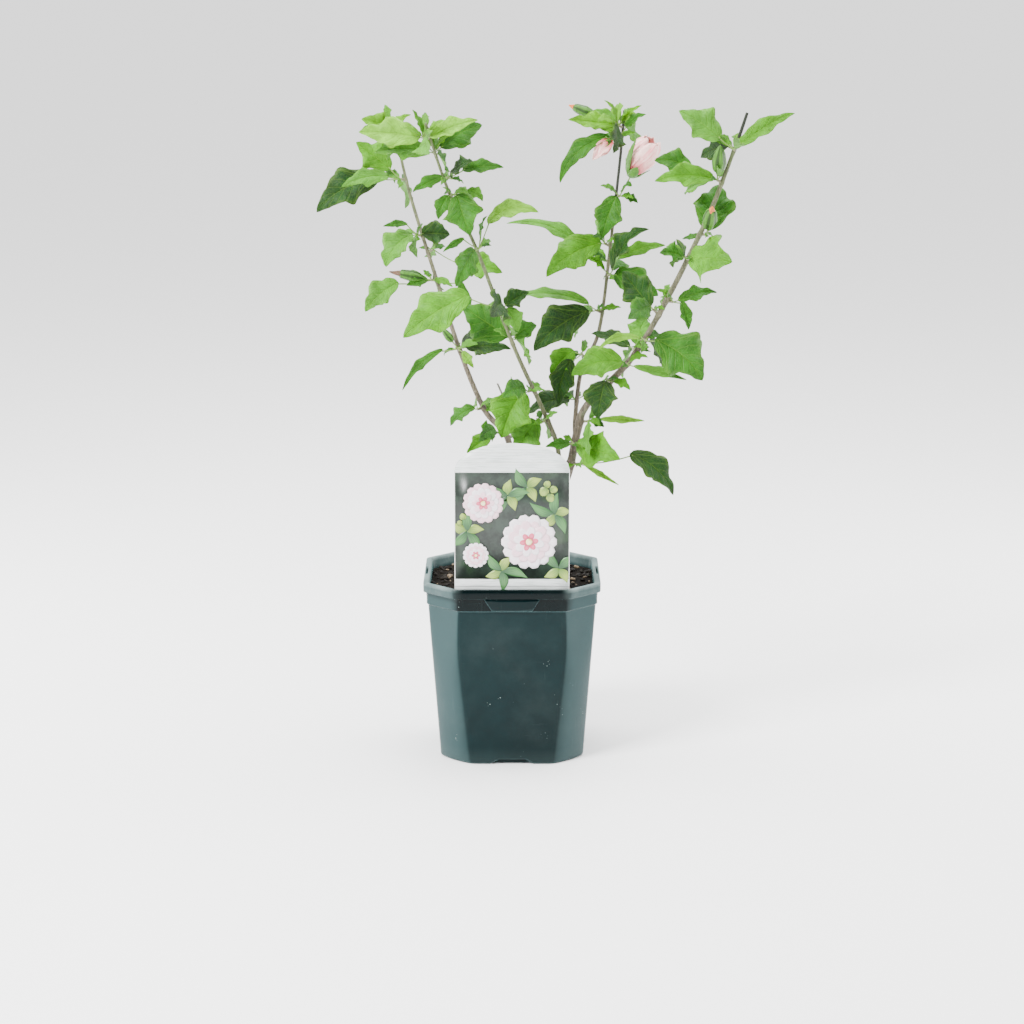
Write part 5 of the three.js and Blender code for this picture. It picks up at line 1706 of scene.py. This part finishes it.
def pot_body():
    """The pot: rings of the blended section, with a notch at the foot of each flat face and a slot
    in the rim on the left and the right."""
    angle = 2 * np.pi * np.arange(POT["columns"]) / POT["columns"]
    sides = np.abs((angle + np.pi / 4) % (np.pi / 2) - np.pi / 4)
    rings = []
    for z, sizes, inset, slot in pot_rings():
        radius = pot_radius([size - inset for size in sizes], angle)
        off = radius * np.sin(sides)
        edge = NOTCH["bottom"] + (NOTCH["top"] - NOTCH["bottom"]) * z / NOTCH["high"]
        if z <= NOTCH["high"]:
            radius = radius - NOTCH["deep"] * np.clip((edge - off) / NOTCH_EASE, 0, 1)
        x, y = radius * np.cos(angle), radius * np.sin(angle)
        cut = np.clip(RIM_SLOT["half"] + 0.5 - np.abs(y), 0, 1) * (np.abs(x) > 60) * slot
        rings.append(np.stack([x, y, z - RIM_SLOT["deep"] * cut], 1))
    return closed_rings(np.array(rings), [0, 0, 0], [0, 0, POT["floor"]])


def tab_body(side):
    """The tapered plate between the collar and the rim of one flat face, its edges eased."""
    t = np.array([0, 0.04, 0.3, 0.7, 1])[:, None]
    w = np.array([-1, -0.96, -0.5, 0, 0.5, 0.96, 1])[None]
    half = TAB["bottom"] + (TAB["top"] - TAB["bottom"]) * t
    eased = TAB_EASE * ((np.abs(w) > 0.99) | (t < 0.01))
    front = -POT["collar"][0] - TAB["thick"] + eased
    z = POT["neck_at"] + 1 + (POT["rim_at"] - POT["neck_at"] - 0.5) * t + 0 * w
    points = np.stack([w * half, front, z], -1)
    back = points.copy()
    back[..., 1] = -POT["collar"][0] + 0.8
    turn = np.pi / 2 * side
    spin = np.array([[np.cos(turn), np.sin(turn), 0], [-np.sin(turn), np.cos(turn), 0], [0, 0, 1]])
    return shell(points @ spin, back @ spin)


class SHRUB_OT_pot(Operator):
    """Moulds the pot: glossy dark plastic with eased edges, rubbed towards the rim and the foot,
    with a painted sheen on faces that turn away and painted shade on the tabs and on the front
    above the neck
    """
    bl_idname = "shrub.pot"
    bl_label = "Mould the pot"

    def execute(self, context):
        settings = context.scene.shrub_pot

        def wire(net, tab=False):
            place = net.place()
            x, y, height = net.split(place)
            aside = net.most(net.absolute(x), net.times(y, 4.0))

            def by(key, value=height):
                return net.step(value, *POT_TONES[key])

            # Painted shade: the tabs take a darker copy of the plastic, at 0.6 of its tones.
            part = 0.6 if tab else 1.0
            light, dark = (shade(settings.plastic, share * part) for share in (1.25, 0.85))
            tones = mottled(net, light, dark, 9.0)
            cloud = net.step(net.noise(place, 38.0, 6.0, 0.65), 0.38, 0.68)
            worn = net.times(by("rim"), net.plus(net.times(cloud, 0.4), 0.3))
            worn = net.times(net.times(worn, by("lip")), by("beside", aside))
            rubbed = net.times(net.group(scuffs(), {"Scale": 240.0, "Amount": 0.12})["Mask"], 0.25)
            dusty = net.step(net.noise(place, 16.0, 5.0, 0.6), 0.45, 0.8)
            dust = net.times(dusty, settings.dust * 0.16)
            dots = net.group(specks(), {"Scale": 300.0, "Rarity": 0.62})["Mask"]
            film = net.most(worn, rubbed, dust, by("foot"), net.times(dots, 0.8))
            # Painted sheen: from here the base colour turns lighter on faces that turn away from
            # the eye, standing in for reflections of the pale room and the lamps.
            turned = net.make("ShaderNodeLayerWeight", {"Blend": 0.5}).outputs["Facing"]
            gloss = net.plus(*(net.step(turned, *rise) for rise in POT_PAINTED_SHEEN))
            plastic = net.mix(gloss, tones["Color"], colour(settings.painted_sheen))
            if not tab:
                # Painted shade: the front above the neck, rim included, is darkened nearly to
                # black, standing in for the dark reflection on that face.
                band = net.times(by("band"), by("painted_shade_front", aside))
                plastic = net.mix(band, plastic, shade(settings.plastic, 0.2))
            base = net.mix(film, plastic, colour(settings.worn))
            rough = net.plus(net.times(film, 0.4), 0.17)
            bumps = net.plus(net.noise(place, 420.0, 2.0), net.times(rubbed, -0.6))
            return {
                "Base Color": base, "Roughness": rough, "Height": bumps, "Strength": 0.12,
                "Distance": 0.0004,
            }

        dull = {"Specular IOR Level": 0.1}
        wall, tabs = Pile(), Pile()
        wall.add(pot_body())
        wall.build("pot_wall", [material("petrol plastic", dull, wire)], "pot", "pot")
        for side in range(4):
            tabs.add(tab_body(side))
        skin = material("tab plastic", dull, lambda net: wire(net, tab=True))
        tabs.build("pot_tabs", [skin], "pot")
        return {"FINISHED"}


# Stage

# Each soft light: its place and breadth in metres and its power in watts.
LIGHTS = (
    ("key", (-1.5, -1.5, 2.1), 0.9, 190),
    ("fill", (2.0, -0.9, 1.2), 1.3, 16),
    ("left strip", (-1.3, 0.5, 0.6), 0.8, 16),
    ("right strip", (1.3, 0.5, 0.6), 0.8, 16),
    ("top", (0.3, 0.7, 2.4), 1.6, 75),
)
# The room's brightness: from where it starts to change to where it ends, and its two levels.
ROOM = dict(level=(-0.8, 0.4, 0.08, 0.85), above=(0.25, 0.9, 0.0, 2.2))
FLOOR_HALF = 60.0
LOOKED_AT = (0, 0, 0.3)


class SHRUB_OT_stage(Operator):
    """Sets the camera, the floor and the soft lights"""
    bl_idname = "shrub.stage"
    bl_label = "Set the stage"

    def execute(self, context):
        settings = context.scene.shrub_stage
        scene = context.scene
        lens = bpy.data.cameras.new("camera")
        lens.sensor_width = 36
        lens.lens = settings.lens
        lens.clip_end = 200
        camera = bpy.data.objects.new("camera", lens)
        camera.location = (0, -settings.distance, settings.height)
        camera.rotation_euler = (math.radians(90) - settings.pitch, 0, 0)
        scene.collection.objects.link(camera)
        scene.camera = camera
        self.lay_floor(scene, settings)
        world = bpy.data.worlds.new("pale room")
        world.use_nodes = True
        net = Net(world.node_tree)
        way = net.split(net.make("ShaderNodeTexCoord").outputs["Generated"])
        level = net.step(way[1], *ROOM["level"])
        above = net.step(way[2], *ROOM["above"])
        backdrop = world.node_tree.nodes["Background"]
        net.feed(backdrop.inputs["Color"], (1, 1, 1, 1))
        net.feed(backdrop.inputs["Strength"], net.plus(level, above))
        scene.world = world
        for name, place, size, power in LIGHTS:
            self.hang_light(scene, name, place, size, power)
        return {"FINISHED"}

    def lay_floor(self, scene, settings):
        """A flat square grid of points at the height of the pot's underside."""
        ends = [-FLOOR_HALF, FLOOR_HALF]
        x, y = (axis.ravel() for axis in np.meshgrid(ends, ends))
        mesh = bpy.data.meshes.new("floor")
        mesh.from_pydata(np.stack([x, y, np.zeros(4)], 1).tolist(), [], [(0, 1, 3, 2)])
        floor = bpy.data.objects.new("floor", mesh)
        scene.collection.objects.link(floor)
        values = {"Base Color": colour(settings.floor), "Roughness": 0.9}
        mesh.materials.append(material("floor", values, lambda net: {}))
        floor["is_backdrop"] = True

    def hang_light(self, scene, name, place, size, power):
        """A square soft light that faces the middle of the plant."""
        lamp = bpy.data.lights.new(name, "AREA")
        lamp.size = size
        lamp.energy = power
        light = bpy.data.objects.new(name, lamp)
        light.location = place
        heading = Vector(LOOKED_AT) - Vector(place)
        light.rotation_euler = heading.to_track_quat("-Z", "Y").to_euler()
        scene.collection.objects.link(light)


class SHRUB_PT_panel(Panel):
    """Lists the pieces of the shrub and their settings"""
    bl_label = "Potted shrub"
    bl_space_type = "VIEW_3D"
    bl_region_type = "UI"
    bl_category = "Shrub"

    def draw(self, context):
        for step, group in STEPS:
            box = self.layout.box()
            box.operator(step.bl_idname)
            settings = getattr(context.scene, group)
            for name in settings.__annotations__:
                box.prop(settings, name)


STEPS = (
    (SHRUB_OT_stage, "shrub_stage"),
    (SHRUB_OT_pot, "shrub_pot"),
    (SHRUB_OT_mix, "shrub_mix"),
    (SHRUB_OT_card, "shrub_card"),
    (SHRUB_OT_bark, "shrub_bark"),
    (SHRUB_OT_leaves, "shrub_foliage"),
    (SHRUB_OT_stalks, "shrub_foliage"),
    (SHRUB_OT_flowers, "shrub_bloom"),
)
SETTINGS = dict(
    shrub_stage=ShrubStageSettings, shrub_pot=ShrubPotSettings, shrub_mix=ShrubMixSettings,
    shrub_card=ShrubCardSettings, shrub_bark=ShrubBarkSettings, shrub_foliage=ShrubFoliageSettings,
    shrub_bloom=ShrubBloomSettings,
)


def register():
    for group in SETTINGS.values():
        bpy.utils.register_class(group)
    for name, group in SETTINGS.items():
        setattr(bpy.types.Scene, name, PointerProperty(type=group))
    for step, _ in STEPS:
        bpy.utils.register_class(step)
    bpy.utils.register_class(SHRUB_PT_panel)


def unregister():
    bpy.utils.unregister_class(SHRUB_PT_panel)
    for step, _ in reversed(STEPS):
        bpy.utils.unregister_class(step)
    for name in SETTINGS:
        delattr(bpy.types.Scene, name)
    for group in SETTINGS.values():
        bpy.utils.unregister_class(group)


def main():
    register()
    for step, _ in STEPS:
        family, name = step.bl_idname.split(".")
        getattr(getattr(bpy.ops, family), name)()
    boxes = {"cad": cad_box, "visual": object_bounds()}
    {key: [list(corner) for corner in box] for key, box in boxes.items()}


if __name__ == "__main__":
    main()
